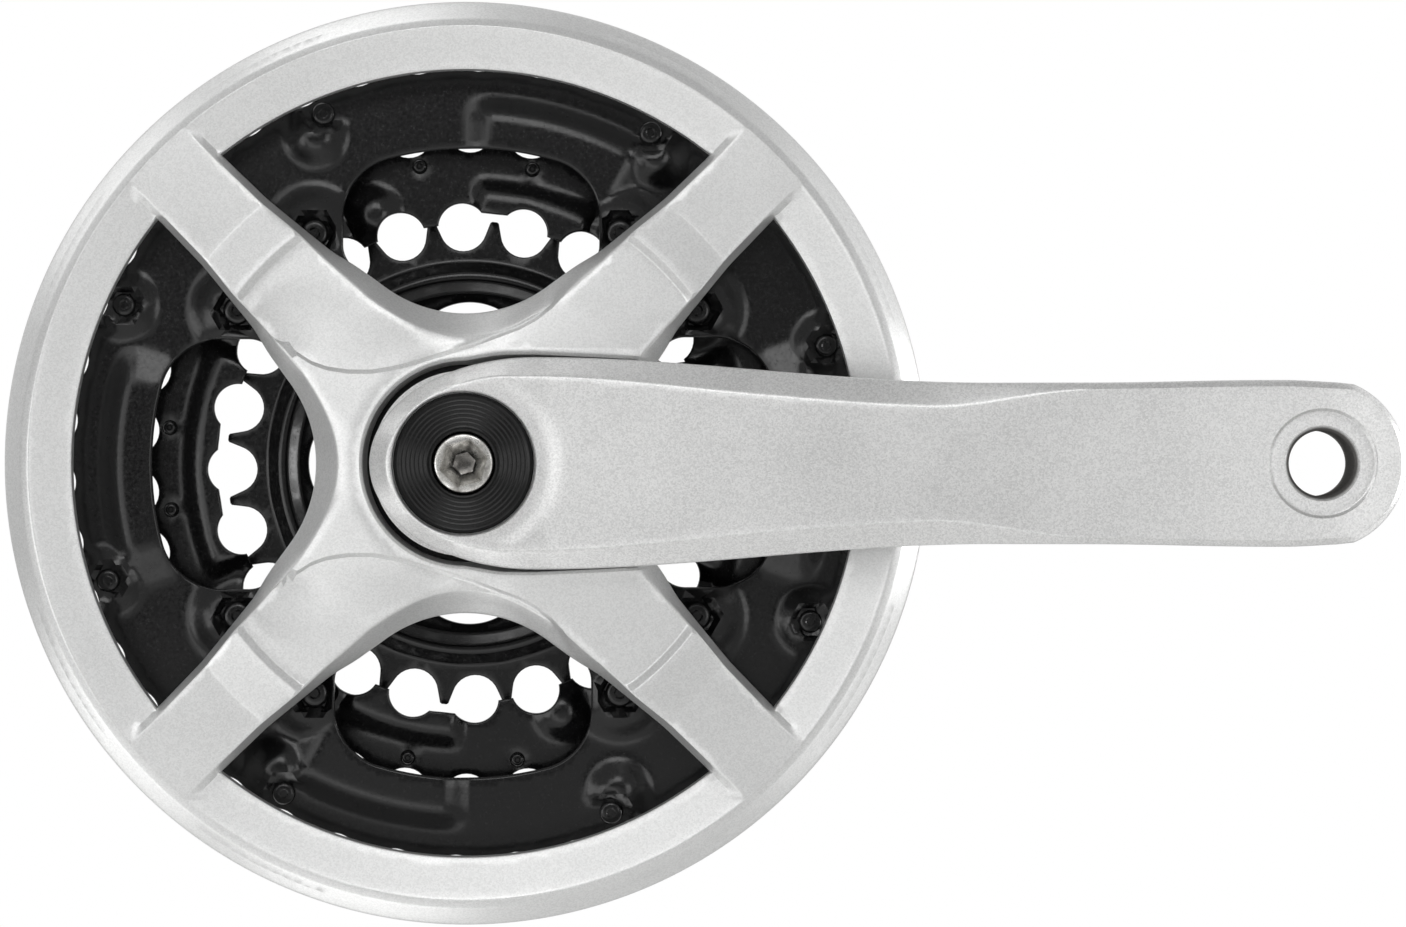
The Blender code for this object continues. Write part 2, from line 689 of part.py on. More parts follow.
def socket_cutter():
    """Tapered square hole for the spindle, open at the boss's inboard face."""
    slope = (SOCKET_HALF_MOUTH - SOCKET_HALF_END) / (-LARGE_RING_Y - WEB_HOLE[1])
    diagonal = math.sqrt(2.0)
    profile = [
        (0.0, WEB_HOLE[1]),
        (SOCKET_HALF_END * diagonal, WEB_HOLE[1]),
        ((SOCKET_HALF_MOUTH + slope * PAST) * diagonal, -LARGE_RING_Y + PAST),
        (0.0, -LARGE_RING_Y + PAST),
    ]
    cutter = turned_solid("socket_cutter", profile, 4)
    cutter.rotation_euler = (0.0, math.radians(45.0), 0.0)
    return cutter


def pedal_hole_cutter():
    """Straight bore with a 45-degree chamfer at each end."""
    chamfer = PEDAL_CHAMFER - PEDAL_HOLE
    profile = [
        (0.0, EYE_DEPTH - PAST),
        (PEDAL_CHAMFER + PAST, EYE_DEPTH - PAST),
        (PEDAL_HOLE, EYE_DEPTH + chamfer),
        (PEDAL_HOLE, EYE_BACK_DEPTH - chamfer),
        (PEDAL_CHAMFER + PAST, EYE_BACK_DEPTH + PAST),
        (0.0, EYE_BACK_DEPTH + PAST),
    ]
    return turned_solid("pedal_hole_cutter", profile, SIDES_MEDIUM, None, (ARM_LENGTH, 0.0))


def crank_arm(finish):
    arm = arm_blank(finish)
    boolean(arm, arm_boss(), "UNION")
    boolean(arm, arm_bore_cutter(), "DIFFERENCE")
    boolean(arm, socket_cutter(), "DIFFERENCE")
    boolean(arm, pedal_hole_cutter(), "DIFFERENCE")
    return arm


# ---------------------------------------------------------------- chain guard

def arm_point(radius, across, arm, side):
    """Point on a guard arm at a radius from the axis and a distance to one side of the arm's middle."""
    along = math.sqrt(radius ** 2 - across ** 2)
    return turned((along, side * across), arm)


def guard_ring_depth(radius):
    """Front of the guard's ring."""
    lip = (GUARD_INNER, GUARD_LIP_DEPTHS[0])
    rim = (GUARD_OUTER, GUARD_RIM_DEPTHS[0])
    return between((lip, GUARD_CREST, GUARD_CHAMFER, rim), radius)


def guard_face_depth(point):
    """Front of the guard's arms and hub."""
    return between(GUARD_FACE_DEPTHS, math.hypot(*point))


def guard_side(widths, arc_radius, turn, arm, side, outer):
    """One side of the hollow between two arms: half its hub arc, then out along an arm."""
    middle = arm + side * 45.0
    centre = polar(GUARD_ARC_CENTRE, middle)
    facing = middle + 180.0
    points = arc(arc_radius, facing, facing + side * turn, GUARD_ARC_STEPS, centre)
    points += [arm_point(radius, between(widths, radius), arm, side) for radius in GUARD_STATIONS + outer]
    return points


def guard_hollow(widths, arc_radius, turn, arm, outer):
    """Open line round the hollow between an arm and the next: out one side, in along the other."""
    first = guard_side(widths, arc_radius, turn, arm, 1, outer)
    second = guard_side(widths, arc_radius, turn, arm + 90.0, -1, outer)
    return list(reversed(first)) + second[1:]


def guard_lines():
    lines = [
        Line(circle(GUARD_OUTER, SIDES_GUARD), GUARD_RIM_DEPTHS[0], GUARD_RIM_DEPTHS[1], edge=True),
        Line(circle(GUARD_OUTER - GUARD_WALL, SIDES_GUARD), ring_front, GUARD_RIM_DEPTHS[1]),
        Line(circle(GUARD_OUTER - GUARD_WALL - CHANNEL_STEP, SIDES_GUARD), ring_front, GUARD_CHANNEL_DEPTH),
        Line(circle(GUARD_CHAMFER[0], SIDES_GUARD), GUARD_CHAMFER[1], GUARD_CHANNEL_DEPTH),
        Line(circle(GUARD_HOLE, SIDES_LARGE), GUARD_FACE_DEPTHS[0][1], GUARD_BACK_DEPTH, edge=True),
        Line(circle(GUARD_FACE_DEPTHS[0][0], SIDES_LARGE), GUARD_FACE_DEPTHS[0][1], GUARD_BACK_DEPTH),
    ]
    for arm in ARM_ANGLES:
        lines += guard_sector(arm)
    return lines


def ring_front(point):
    return guard_ring_depth(math.hypot(*point))


def guard_sector(arm):
    """Everything from one arm's middle to the next: the hollow, the arm's creases and the ring's channel."""
    edge = guard_hollow(GUARD_EDGE_WIDTHS, GUARD_ARC_EDGE, GUARD_ARC_EDGE_TURN, arm, ())
    corner_half = between(GUARD_EDGE_WIDTHS, GUARD_INNER)
    lean = math.degrees(math.asin(corner_half / GUARD_INNER))
    rim = arc(GUARD_INNER, arm + 90.0 - lean, arm + lean, RIM_STEPS)
    face = guard_hollow(GUARD_FACE_WIDTHS, GUARD_ARC_FACE, GUARD_ARC_FACE_TURN, arm, (GUARD_INNER, GUARD_CREST[0]))
    lines = [
        Line(rim, GUARD_LIP_DEPTHS[0], GUARD_LIP_DEPTHS[1], closed=False),
        Line(edge + rim, GUARD_EDGE_DEPTH, GUARD_BACK_DEPTH, edge=True),
        Line(face, guard_face_depth, GUARD_BACK_DEPTH, closed=False),
    ]
    for radius in (GUARD_STATIONS[3], GUARD_STATIONS[4], GUARD_STATIONS[6], GUARD_CREST[0]):
        half = math.degrees(math.asin(between(GUARD_FACE_WIDTHS, radius) / radius))
        back = GUARD_CHANNEL_DEPTH if radius == GUARD_CREST[0] else GUARD_BACK_DEPTH
        lines.append(Line(arc(radius, arm - half, arm + half, 4), guard_face_depth, back, closed=False))
    crest_half = math.degrees(math.asin(between(GUARD_FACE_WIDTHS, GUARD_CREST[0]) / GUARD_CREST[0]))
    wedge_half = math.degrees(math.asin(between(GUARD_EDGE_WIDTHS, GUARD_CREST[0]) / GUARD_CREST[0]))
    crest = arc(GUARD_CREST[0], arm + wedge_half, arm + 90.0 - wedge_half, RIM_STEPS)
    whole = [polar(GUARD_CREST[0], arm + crest_half)] + crest + [polar(GUARD_CREST[0], arm + 90.0 - crest_half)]
    lines.append(Line(whole, GUARD_CREST[1], GUARD_CHANNEL_DEPTH, closed=False))
    lines.append(Line([rim[-1], crest[0]], GUARD_CREST[1], GUARD_BACK_DEPTH, closed=False))
    lines.append(Line([rim[0], crest[-1]], GUARD_CREST[1], GUARD_BACK_DEPTH, closed=False))
    channel = lean + CHANNEL_END
    end = channel - 2.0 * CHANNEL_STEP
    floor = arc(GUARD_INNER + GUARD_WALL + CHANNEL_STEP, arm + channel, arm + 90.0 - channel, RIM_STEPS)
    wall = arc(GUARD_INNER + GUARD_WALL, arm + end, arm + 90.0 - end, RIM_STEPS)
    lines.append(Line(floor, ring_front, GUARD_CHANNEL_DEPTH, closed=False))
    lines.append(Line(wall, ring_front, GUARD_LIP_DEPTHS[1], closed=False))
    post = polar(SCREW_CIRCLE, arm)
    lines.append(Line(circle(POST_RADIUS + CHANNEL_STEP, SIDES_SMALL, post), GUARD_CREST[1], GUARD_BACK_DEPTH))
    lines.append(Line(circle(POST_RADIUS, SIDES_SMALL, post), GUARD_CREST[1], -GAP))
    return lines


def recess_cutter():
    """Clearance for the arm: a round pocket about the boss that runs out to +X."""
    outline = arc(GUARD_RECESS_RADIUS, 90.0, 270.0, BOSS_STEPS)
    right = [GUARD_RECESS_SHOULDER, (14.0, GUARD_RECESS_HALF), (GUARD_RECESS_END, GUARD_RECESS_HALF)]
    outline += [(x, -z) for x, z in right] + list(reversed(right))
    line = Line(outline, BOSS_DEPTH, GUARD_RECESS_FLOOR, edge=True)
    return plate_solid("recess_cutter", [line], None)


def chain_guard(finish):
    guard = plate_solid("chain_guard", guard_lines(), finish)
    boolean(guard, recess_cutter(), "DIFFERENCE")
    for number, place in enumerate(screw_places(), 1):
        drill = [(0.0, PAST), (SCREW_HOLE, PAST), (SCREW_HOLE, POST_DRILL), (0.0, POST_DRILL)]
        boolean(guard, turned_solid(f"post_drill_{number}", drill, SIDES_SMALL, None, place), "DIFFERENCE")
    return guard


# ---------------------------------------------------------------- assembly

def build():
    clear_scene()
    silver_paint = material("silver_paint", (0.62, 0.62, 0.61), 0.42, 0.75)
    silver_plastic = material("silver_plastic", (0.66, 0.66, 0.65), 0.40, 0.60)
    black_steel = material("black_steel", (0.012, 0.012, 0.013), 0.38, 0.30)
    black_plastic = material("black_plastic", (0.010, 0.010, 0.010), 0.45, 0.0)
    plated_steel = material("plated_steel", (0.66, 0.63, 0.56), 0.25, 1.0)

    crank_arm(silver_paint)
    chain_guard(silver_plastic)
    large_chainring(black_steel)
    middle_chainring(black_steel)
    small_chainring(black_steel)
    bolt_cap(black_plastic)

    axis = bpy.data.objects.new("crank_axis", None)
    bpy.context.scene.collection.objects.link(axis)
    for piece in (crank_bolt(plated_steel), bolt_washer(plated_steel)):
        piece.parent = axis

    for number, place in enumerate(rivet_places(), 1):
        spacer_rivet(f"ring_rivet_{number}", 0.0, RING_SPACING, RIVET_SHANK, RIVET_HEAD, place, black_steel)
    bead = 2.0 * RING_SPACING + SMALL_PROFILE[1][1]
    for number, place in enumerate(tab_rivet_places(), 1):
        name = f"tab_rivet_{number}"
        spacer_rivet(name, RING_SPACING, bead, TAB_RIVET_SHANK, TAB_RIVET_HEAD, place, black_steel)
    for number, place in enumerate(large_pin_places(), 1):
        name = f"large_shift_pin_{number}"
        shift_pin(name, 0.0, PIN_SHANK, LARGE_PIN_HEAD, LARGE_PIN_REACH, place, black_steel)
    for number, place in enumerate(middle_pin_places(), 1):
        name = f"middle_shift_pin_{number}"
        shift_pin(name, RING_SPACING, SMALL_PIN_SHANK, SMALL_PIN_HEAD, SMALL_PIN_REACH, place, black_steel)
    for number, place in enumerate(screw_places(), 1):
        guard_screw(f"guard_screw_{number}", place, plated_steel)


build()
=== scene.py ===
"""Looks of the bicycle crankset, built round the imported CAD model.

Lengths are in millimetres, and MM turns them into metres. The crank turns about Y, the arm points along +X,
and the outboard side faces -Y. A depth is a Y position measured from the large ring's front face.
"""

import math

import bmesh
import bpy
import numpy as np
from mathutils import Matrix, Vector
from mathutils.geometry import delaunay_2d_cdt
from mathutils.kdtree import KDTree


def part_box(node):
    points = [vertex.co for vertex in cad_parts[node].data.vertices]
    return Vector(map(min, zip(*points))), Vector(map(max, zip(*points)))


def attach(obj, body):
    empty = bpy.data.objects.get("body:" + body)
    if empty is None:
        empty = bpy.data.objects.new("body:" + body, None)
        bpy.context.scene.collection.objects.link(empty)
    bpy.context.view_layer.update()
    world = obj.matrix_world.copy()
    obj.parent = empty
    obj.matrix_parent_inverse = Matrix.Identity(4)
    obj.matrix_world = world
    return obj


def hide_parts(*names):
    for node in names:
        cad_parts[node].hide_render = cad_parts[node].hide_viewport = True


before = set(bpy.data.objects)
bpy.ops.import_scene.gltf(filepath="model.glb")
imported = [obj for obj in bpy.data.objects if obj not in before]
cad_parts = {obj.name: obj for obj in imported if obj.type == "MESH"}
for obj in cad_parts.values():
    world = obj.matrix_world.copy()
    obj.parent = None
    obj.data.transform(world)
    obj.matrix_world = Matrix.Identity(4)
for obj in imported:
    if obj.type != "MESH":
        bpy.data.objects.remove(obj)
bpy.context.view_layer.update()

MM = 0.001
PLATE_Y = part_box("large_chainring")[0].y / MM  # front face of the large ring
PLATE = (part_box("large_chainring")[1].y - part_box("large_chainring")[0].y) / MM
ARM_LENGTH = 170.0
PITCH = 12.7  # of the chain
ARMS = (45.0, 135.0, 225.0, 315.0)  # directions of the guard's four arms
SHARP = 32.0  # edges bent by more than this many degrees are shaded sharp


# ---------------------------------------------------------------- small maths

def clamp(t):
    return min(max(t, 0.0), 1.0)


def smooth(t):
    """0 up to 0 and 1 from 1 on, with an S-shaped rise between."""
    t = clamp(t)
    return t * t * (3.0 - 2.0 * t)


def between(pairs, at):
    """Straight-line value at a place along sorted (place, value) pairs."""
    if at <= pairs[0][0]:
        return pairs[0][1]
    for (a, low), (b, high) in zip(pairs, pairs[1:]):
        if at <= b:
            return low + (high - low) * (at - a) / (b - a)
    return pairs[-1][1]


def eased(pairs, at, width):
    """The same with its corners rounded over a width to each side."""
    return (between(pairs, at - width) + 2.0 * between(pairs, at) + between(pairs, at + width)) / 4.0


def polar(radius, degrees, centre=(0.0, 0.0)):
    turn = math.radians(degrees)
    return (centre[0] + radius * math.cos(turn), centre[1] + radius * math.sin(turn))


def arc(radius, start, stop, steps, centre=(0.0, 0.0)):
    return [polar(radius, start + (stop - start) * i / steps, centre) for i in range(steps + 1)]


def circle(radius, sides, centre=(0.0, 0.0)):
    return [polar(radius, 360.0 * i / sides, centre) for i in range(sides)]


def turned(point, degrees):
    c, s = math.cos(math.radians(degrees)), math.sin(math.radians(degrees))
    return (point[0] * c - point[1] * s, point[0] * s + point[1] * c)


def wrapped(degrees):
    """Angle from -180 to 180."""
    return (degrees + 180.0) % 360.0 - 180.0


def offset(points, distance):
    """A closed outline moved to its left by a distance: inward when it runs counterclockwise."""
    moved = []
    count = len(points)
    tiny, sharpest = 1e-9, 0.6
    for i in range(count):
        before, here, after = points[i - 1], points[i], points[(i + 1) % count]
        first = np.array([here[0] - before[0], here[1] - before[1]])
        second = np.array([after[0] - here[0], after[1] - here[1]])
        first /= max(np.linalg.norm(first), tiny)
        second /= max(np.linalg.norm(second), tiny)
        normal = np.array([-(first + second)[1], (first + second)[0]])
        normal /= max(np.linalg.norm(normal), tiny)
        stretch = 1.0 / max(float(normal @ np.array([-first[1], first[0]])), sharpest)
        moved.append((here[0] + normal[0] * distance * stretch, here[1] + normal[1] * distance * stretch))
    return moved


def counterclockwise(points):
    area = sum(a[0] * b[1] - a[1] * b[0] for a, b in zip(points, points[1:] + points[:1]))
    return points if area > 0.0 else list(reversed(points))


# ---------------------------------------------------------------- mesh makers

class Line:
    """A line in the XZ plane that the mesh follows. Edge lines bound the solid; a drop rounds its rim."""

    def __init__(self, points, edge=False, closed=True, drop=0.0):
        self.points, self.edge, self.closed, self.drop = points, edge, closed, drop


def rim(points, radius, hole=False, steps=3):
    """Edge line and the crease lines inside it that round the rim of a plate."""
    outline = counterclockwise(points)
    side = -1.0 if hole else 1.0
    lines = [Line(outline, edge=True, drop=radius)]
    for i in range(1, steps + 1):
        turn = math.pi / 2.0 * i / steps
        inset, drop = radius * (1.0 - math.cos(turn)), radius * (1.0 - math.sin(turn))
        lines.append(Line(offset(outline, side * inset), drop=drop))
    return lines


def odd_inside(places, outlines):
    """Even-odd test of many points against several closed outlines."""
    x, z = places[:, 0], places[:, 1]
    odd = np.zeros(len(places), bool)
    for outline in outlines:
        for (ax, az), (bx, bz) in zip(outline, outline[1:] + outline[:1]):
            if az != bz:
                odd ^= ((az > z) != (bz > z)) & (x < ax + (bx - ax) * (z - az) / (bz - az))
    return odd


def steps_along(a, b, step):
    """Points from a towards b, about a step apart and without b itself."""
    parts = max(1, int(math.dist(a, b) / step))
    return [(a[0] + (b[0] - a[0]) * i / parts, a[1] + (b[1] - a[1]) * i / parts) for i in range(parts)]


def tree_of(places):
    """Search tree of places in the XZ plane."""
    tree = KDTree(len(places))
    for i, (x, z) in enumerate(places):
        tree.insert((x, z, 0.0), i)
    tree.balance()
    return tree


def grid_points(lines, spacing):
    """Staggered points that fill the region and keep clear of its lines."""
    mark_step, clear = spacing * 0.4, spacing * 0.55
    outlines = [line.points for line in lines if line.edge]
    corners = np.array([p for outline in outlines for p in outline])
    low, high = corners.min(0), corners.max(0)
    rows = np.arange(low[1], high[1], spacing * math.sqrt(0.75))
    columns = np.arange(low[0], high[0], spacing)
    places = [(x + (spacing / 2.0 if row % 2 else 0.0), z) for row, z in enumerate(rows) for x in columns]
    places = np.array(places)
    places = places[odd_inside(places, outlines)]
    marks = []
    for line in lines:
        ends = line.points[1:] + (line.points[:1] if line.closed else [])
        for a, b in zip(line.points, ends):
            marks += steps_along(a, b, mark_step) + [b]
    tree = tree_of(marks)
    return [tuple(p) for p in places if tree.find((p[0], p[1], 0.0))[2] > clear]


def sheet(name, lines, front, back, spacing):
    """Solid between the depths front(x, z) and back(x, z), with a fine mesh between its lines."""
    whole_mesh, merge = 0, 1e-6
    index, coords, drops, edges = {}, [], [], []
    for line in lines:
        chain = []
        for point in line.points:
            key = (round(point[0], 4), round(point[1], 4))
            if key not in index:
                index[key] = len(coords)
                coords.append(Vector(key))
                drops.append(line.drop)
            chain.append(index[key])
        edges += list(zip(chain, chain[1:]))
        if line.closed:
            edges.append((chain[-1], chain[0]))
    for point in grid_points(lines, spacing):
        coords.append(Vector(point))
        drops.append(0.0)
    result = delaunay_2d_cdt(coords, edges, [], whole_mesh, merge, True)
    places = np.array([tuple(p) for p in result[0]])
    faces = np.array([f for f in result[2] if len(f) == 3])
    faces = faces[odd_inside(places[faces].mean(1), [line.points for line in lines if line.edge])]
    used = np.unique(faces)
    renumber = {int(old): new for new, old in enumerate(used)}
    faces = [tuple(renumber[int(i)] for i in face) for face in faces]
    drop = [drops[result[3][i][0]] if result[3][i] else 0.0 for i in used]
    near = [(x, PLATE_Y + front(x, z) + d, z) for (x, z), d in zip(places[used], drop)]
    far = [(x, PLATE_Y + back(x, z) - d, z) for (x, z), d in zip(places[used], drop)]
    count = len(near)
    loops = {}
    for a, b, c in faces:
        for edge in ((a, b), (b, c), (c, a)):
            loops[edge] = loops.get(edge, 0) + 1
    walls = [(a, a + count, b + count, b) for a, b in loops if (b, a) not in loops]
    behind = [tuple(i + count for i in reversed(face)) for face in faces]
    return new_object(name, near + far, faces + behind + walls)


def add(name, data):
    """New object in the scene."""
    made = bpy.data.objects.new(name, data)
    bpy.context.scene.collection.objects.link(made)
    return made


def new_object(name, points, faces):
    """Object in metres from points in millimetres."""
    mesh = bpy.data.meshes.new(name)
    mesh.from_pydata([(x * MM, y * MM, z * MM) for x, y, z in points], [], faces)
    mesh.validate()
    mesh.shade_smooth()
    mesh.set_sharp_from_angle(angle=math.radians(SHARP))
    return add(name, mesh)


def lathe(name, profile, sides, centre=(0.0, 0.0)):
    """Solid of revolution about a line along Y, from (radius, depth) pairs."""
    points, rings = [], []
    for radius, depth in profile:
        ring = [(0.0, 0.0)] if radius == 0.0 else circle(radius, sides)
        rings.append(list(range(len(points), len(points) + len(ring))))
        points += [(centre[0] + x, PLATE_Y + depth, centre[1] + z) for x, z in ring]
    pairs = list(zip(rings, rings[1:]))
    if profile[0][0] > 0.0:
        pairs.append((rings[-1], rings[0]))
    faces = []
    for a, b in pairs:
        for i in range(sides):
            j = (i + 1) % sides
            corners = (a[i % len(a)], b[i % len(b)], b[j % len(b)], a[j % len(a)])
            faces.append(tuple(dict.fromkeys(corners)))
    made = new_object(name, points, faces)
    turn_outward(made.data)
    made.data.set_sharp_from_angle(angle=math.radians(SHARP))
    return made


def turn_outward(mesh):
    """Makes every face of a closed mesh look out of it."""
    bm = bmesh.new()
    bm.from_mesh(mesh)
    bmesh.ops.recalc_face_normals(bm, faces=bm.faces)
    bm.to_mesh(mesh)
    bm.free()


def carve(target, operand, operation="DIFFERENCE"):
    """Applies an exact Boolean and removes the shape it used."""
    cut = target.modifiers.new("carve", "BOOLEAN")
    cut.operation, cut.object, cut.solver = operation, operand, "EXACT"
    view = bpy.context.evaluated_depsgraph_get()
    mesh = bpy.data.meshes.new_from_object(target.evaluated_get(view))
    target.modifiers.clear()
    target.data = mesh
    mesh.shade_smooth()
    mesh.set_sharp_from_angle(angle=math.radians(SHARP))
    bpy.data.objects.remove(operand)


def place(piece, node, finish, body="crankset"):
    """Gives a piece its finish and lets it stand for a CAD node."""
    piece.data.materials.clear()
    piece.data.materials.append(finish)
    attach(piece, body)
    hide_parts(node)


# ---------------------------------------------------------------- materials

def feed(tree, made, inputs):
    """Sets a node's inputs to values, or links them to the outputs of other nodes."""
    for name, value in inputs.items():
        if isinstance(value, bpy.types.NodeSocket):
            tree.links.new(value, made.inputs[name])
        else:
            made.inputs[name].default_value = value
    return made


def node(tree, kind, inputs):
    return feed(tree, tree.nodes.new("ShaderNode" + kind), inputs)


def surface(name, roughness, metallic):
    """New material with its node tree, its shader and its object coordinates."""
    made = bpy.data.materials.new(name)
    made.use_nodes = True
    tree = made.node_tree
    shader = feed(tree, tree.nodes["Principled BSDF"], {"Roughness": roughness, "Metallic": metallic})
    return made, tree, shader, tree.nodes.new("ShaderNodeTexCoord").outputs["Object"]


def noise(tree, where, scale, detail=3.0, roughness=0.55):
    """Clouded value about 0.5."""
    inputs = {"Scale": scale, "Detail": detail, "Roughness": roughness, "Vector": where}
    return node(tree, "TexNoise", inputs).outputs["Fac"]


def ramp(tree, value, stops):
    """Colour by value, from (value, colour) stops."""
    made = node(tree, "ValToRGB", {"Fac": value})
    elements = made.color_ramp.elements
    while len(elements) < len(stops):
        elements.new(0.5)
    for element, (at, colour) in zip(elements, stops):
        element.position = at
        element.color = (*colour, 1.0)
    return made.outputs["Color"]


def rescale(tree, value, low, high, start=0.3, stop=0.7):
    """The value's range from start to stop, mapped to low to high. Most noise lies from 0.3 to 0.7."""
    inputs = {"Value": value, "From Min": start, "From Max": stop, "To Min": low, "To Max": high}
    return node(tree, "MapRange", inputs).outputs["Result"]


def bump(tree, shader, height, distance, strength, before=None):
    """Relief from a height, on top of an earlier one if there is one."""
    made = node(tree, "Bump", {"Distance": distance, "Strength": strength, "Height": height})
    if before:
        feed(tree, made, {"Normal": before})
    feed(tree, shader, {"Normal": made.outputs["Normal"]})
    return made.outputs["Normal"]


def flakes(tree, where, scale):
    """A random value for each metallic flake."""
    cells = node(tree, "TexVoronoi", {"Scale": scale, "Vector": where})
    return node(tree, "SeparateColor", {"Color": cells.outputs["Color"]}).outputs["Red"]


def painted_bore_shade(tree, where, colour, centre, radius):
    """A colour with painted shade inside a round bore along Y: it turns nearly black within the radius. The X
    of its centre and its radius are in metres.
    """
    soft = 0.0002
    # colour and strength of the painted shade
    dark, shade_share = (0.05, 0.045, 0.04, 1.0), 0.86
    vector = where
    steps = (("SUBTRACT", (centre, 0.0, 0.0)), ("MULTIPLY", (1.0, 0.0, 1.0)), ("LENGTH", None))
    for operation, number in steps:
        step = node(tree, "VectorMath", {0: vector})
        step.operation = operation
        if number:
            feed(tree, step, {1: number})
        vector = step.outputs["Value" if operation == "LENGTH" else "Vector"]
    mix = tree.nodes.new("ShaderNodeMix")
    mix.data_type = "RGBA"
    share = rescale(tree, vector, 1.0 - shade_share, 1.0, radius - soft, radius + soft)
    return feed(tree, mix, {"Factor": share, "A": dark, "B": colour}).outputs["Result"]


CLOUD_SHARE = 0.3  # of the silver's clouding beside its flakes
PEDAL_BORE_SHADE, SOCKET_SHADE = 0.0071, 0.0023  # radii of the painted shade in the pedal hole and at the bottom of the bolt's socket, in metres


def silver(name, dark, light, roughness, metallic, grain):
    """Satin silver with metallic flakes and faint clouding, with painted shade in the threaded bore of the
    arm.
    """
    made, tree, shader, where = surface(name, roughness, metallic)
    flake = flakes(tree, where, grain)
    cloud = noise(tree, where, 60.0, 4.0)
    mixed = tree.nodes.new("ShaderNodeMath")
    mixed.operation = "MULTIPLY_ADD"
    feed(tree, mixed, {0: cloud, 1: CLOUD_SHARE, 2: flake})
    paint = ramp(tree, mixed.outputs["Value"], [(0.1, dark), (1.0, light)])
    # painted shade: the threaded bore of the pedal hole darkens to near black
    paint = painted_bore_shade(tree, where, paint, ARM_LENGTH * MM, PEDAL_BORE_SHADE)
    gloss = rescale(tree, cloud, roughness - 0.02, roughness + 0.03)
    feed(tree, shader, {"Base Color": paint, "Roughness": gloss})
    first = bump(tree, shader, flake, 0.00004, 0.16)
    bump(tree, shader, noise(tree, where, 1500.0, 2.0), 0.00004, 0.10, first)
    return made


def black_coating(name, colour, highlight, roughness, specular, streak):
    """Satin black over steel: soft mottling, faint streaks and rubbed light patches."""
    made, tree, shader, where = surface(name, roughness, 0.0)
    cloud = noise(tree, where, 38.0, 5.0)
    fine = noise(tree, where, streak, 3.0, 0.7)
    paint = ramp(tree, cloud, [(0.35, colour), (0.75, highlight)])
    gloss = rescale(tree, fine, roughness - 0.06, roughness + 0.10)
    feed(tree, shader, {"Base Color": paint, "Roughness": gloss, "Specular IOR Level": specular})
    first = bump(tree, shader, fine, 0.00003, 0.10)
    bump(tree, shader, cloud, 0.0002, 0.04, first)
    return made


def plated(name):
    """Bright plating with fine scratches and duller patches, with painted shade at the bottom of the bolt's
    socket.
    """
    made, tree, shader, where = surface(name, 0.24, 1.0)
    patch = noise(tree, where, 420.0, 5.0, 0.65)
    fine = noise(tree, where, 2600.0, 3.0, 0.7)
    colours = [(0.34, (0.26, 0.25, 0.235)), (0.5, (0.58, 0.57, 0.545)), (0.7, (0.80, 0.795, 0.775))]
    # painted shade at the bottom of the bolt's hexagon socket
    plate = painted_bore_shade(tree, where, ramp(tree, patch, colours), 0.0, SOCKET_SHADE)
    feed(tree, shader, {"Base Color": plate, "Roughness": rescale(tree, patch, 0.38, 0.18)})
    bump(tree, shader, fine, 0.00006, 0.25)
    return made


SILVER_PAINT = silver("silver_paint", (0.57, 0.57, 0.567), (0.74, 0.74, 0.735), 0.38, 0.80, 3600.0)
SILVER_PLASTIC = silver("silver_plastic", (0.61, 0.612, 0.608), (0.71, 0.712, 0.708), 0.38, 0.80, 3400.0)
BLACK_STEEL = black_coating(
    "black_steel", (0.0016, 0.0016, 0.0018), (0.003, 0.003, 0.0032), 0.19, 0.46, 1400.0)
BLACK_PLASTIC = black_coating(
    "black_plastic", (0.003, 0.003, 0.003), (0.006, 0.006, 0.006), 0.20, 0.24, 2200.0)
PLATED_STEEL = plated("plated_steel")


# ---------------------------------------------------------------- chainrings

# Number of teeth, and the direction of one valley.
LARGE_TEETH, MIDDLE_TEETH, SMALL_TEETH = (42, 2.66), (34, 4.97), (24, 1.49)
ROOT_DROP, TIP_RISE, TIP_HALF = 3.9, 2.5, 0.85  # from the pitch circle, and half the tip's width
TIP_ROUND = (0.35, 0.25)  # across and down, at the tip's corners
VALLEY_RADIUS, VALLEY_SPREAD = 4.96, 70.0
MIDDLE_DEPTH, SMALL_DEPTH = 8.0, 16.0
TOOTH_EDGE = 0.3  # rounding of the toothed edges
RIVETS = [polar(57.0, arm + side * 11.4) for arm in ARMS for side in (-1, 1)]
TAB_RIVETS = [polar(39.2, arm) for arm in ARMS]
PIN_STEPS = (2, 7, 13, 18, 23, 28, 34, 39)  # counted in teeth
LARGE_PINS = [polar(78.1, LARGE_TEETH[1] + 360.0 / LARGE_TEETH[0] * (step - 0.2)) for step in PIN_STEPS]
SIDE_PINS = (1, 2, 5, 6)  # the four whose embossing lies beside and inside them
MIDDLE_PINS = [polar(62.8, angle) for angle in (9.0, 77.7, 99.3, 173.2, 188.9, 258.4, 279.4, 353.0)]
SCREWS = [polar(74.0, arm) for arm in ARMS]
RIVET_HOLE, TAB_HOLE, PIN_HOLE, SMALL_PIN_HOLE, SCREW_HOLE = 2.3, 1.6, 1.8, 1.1, 1.9


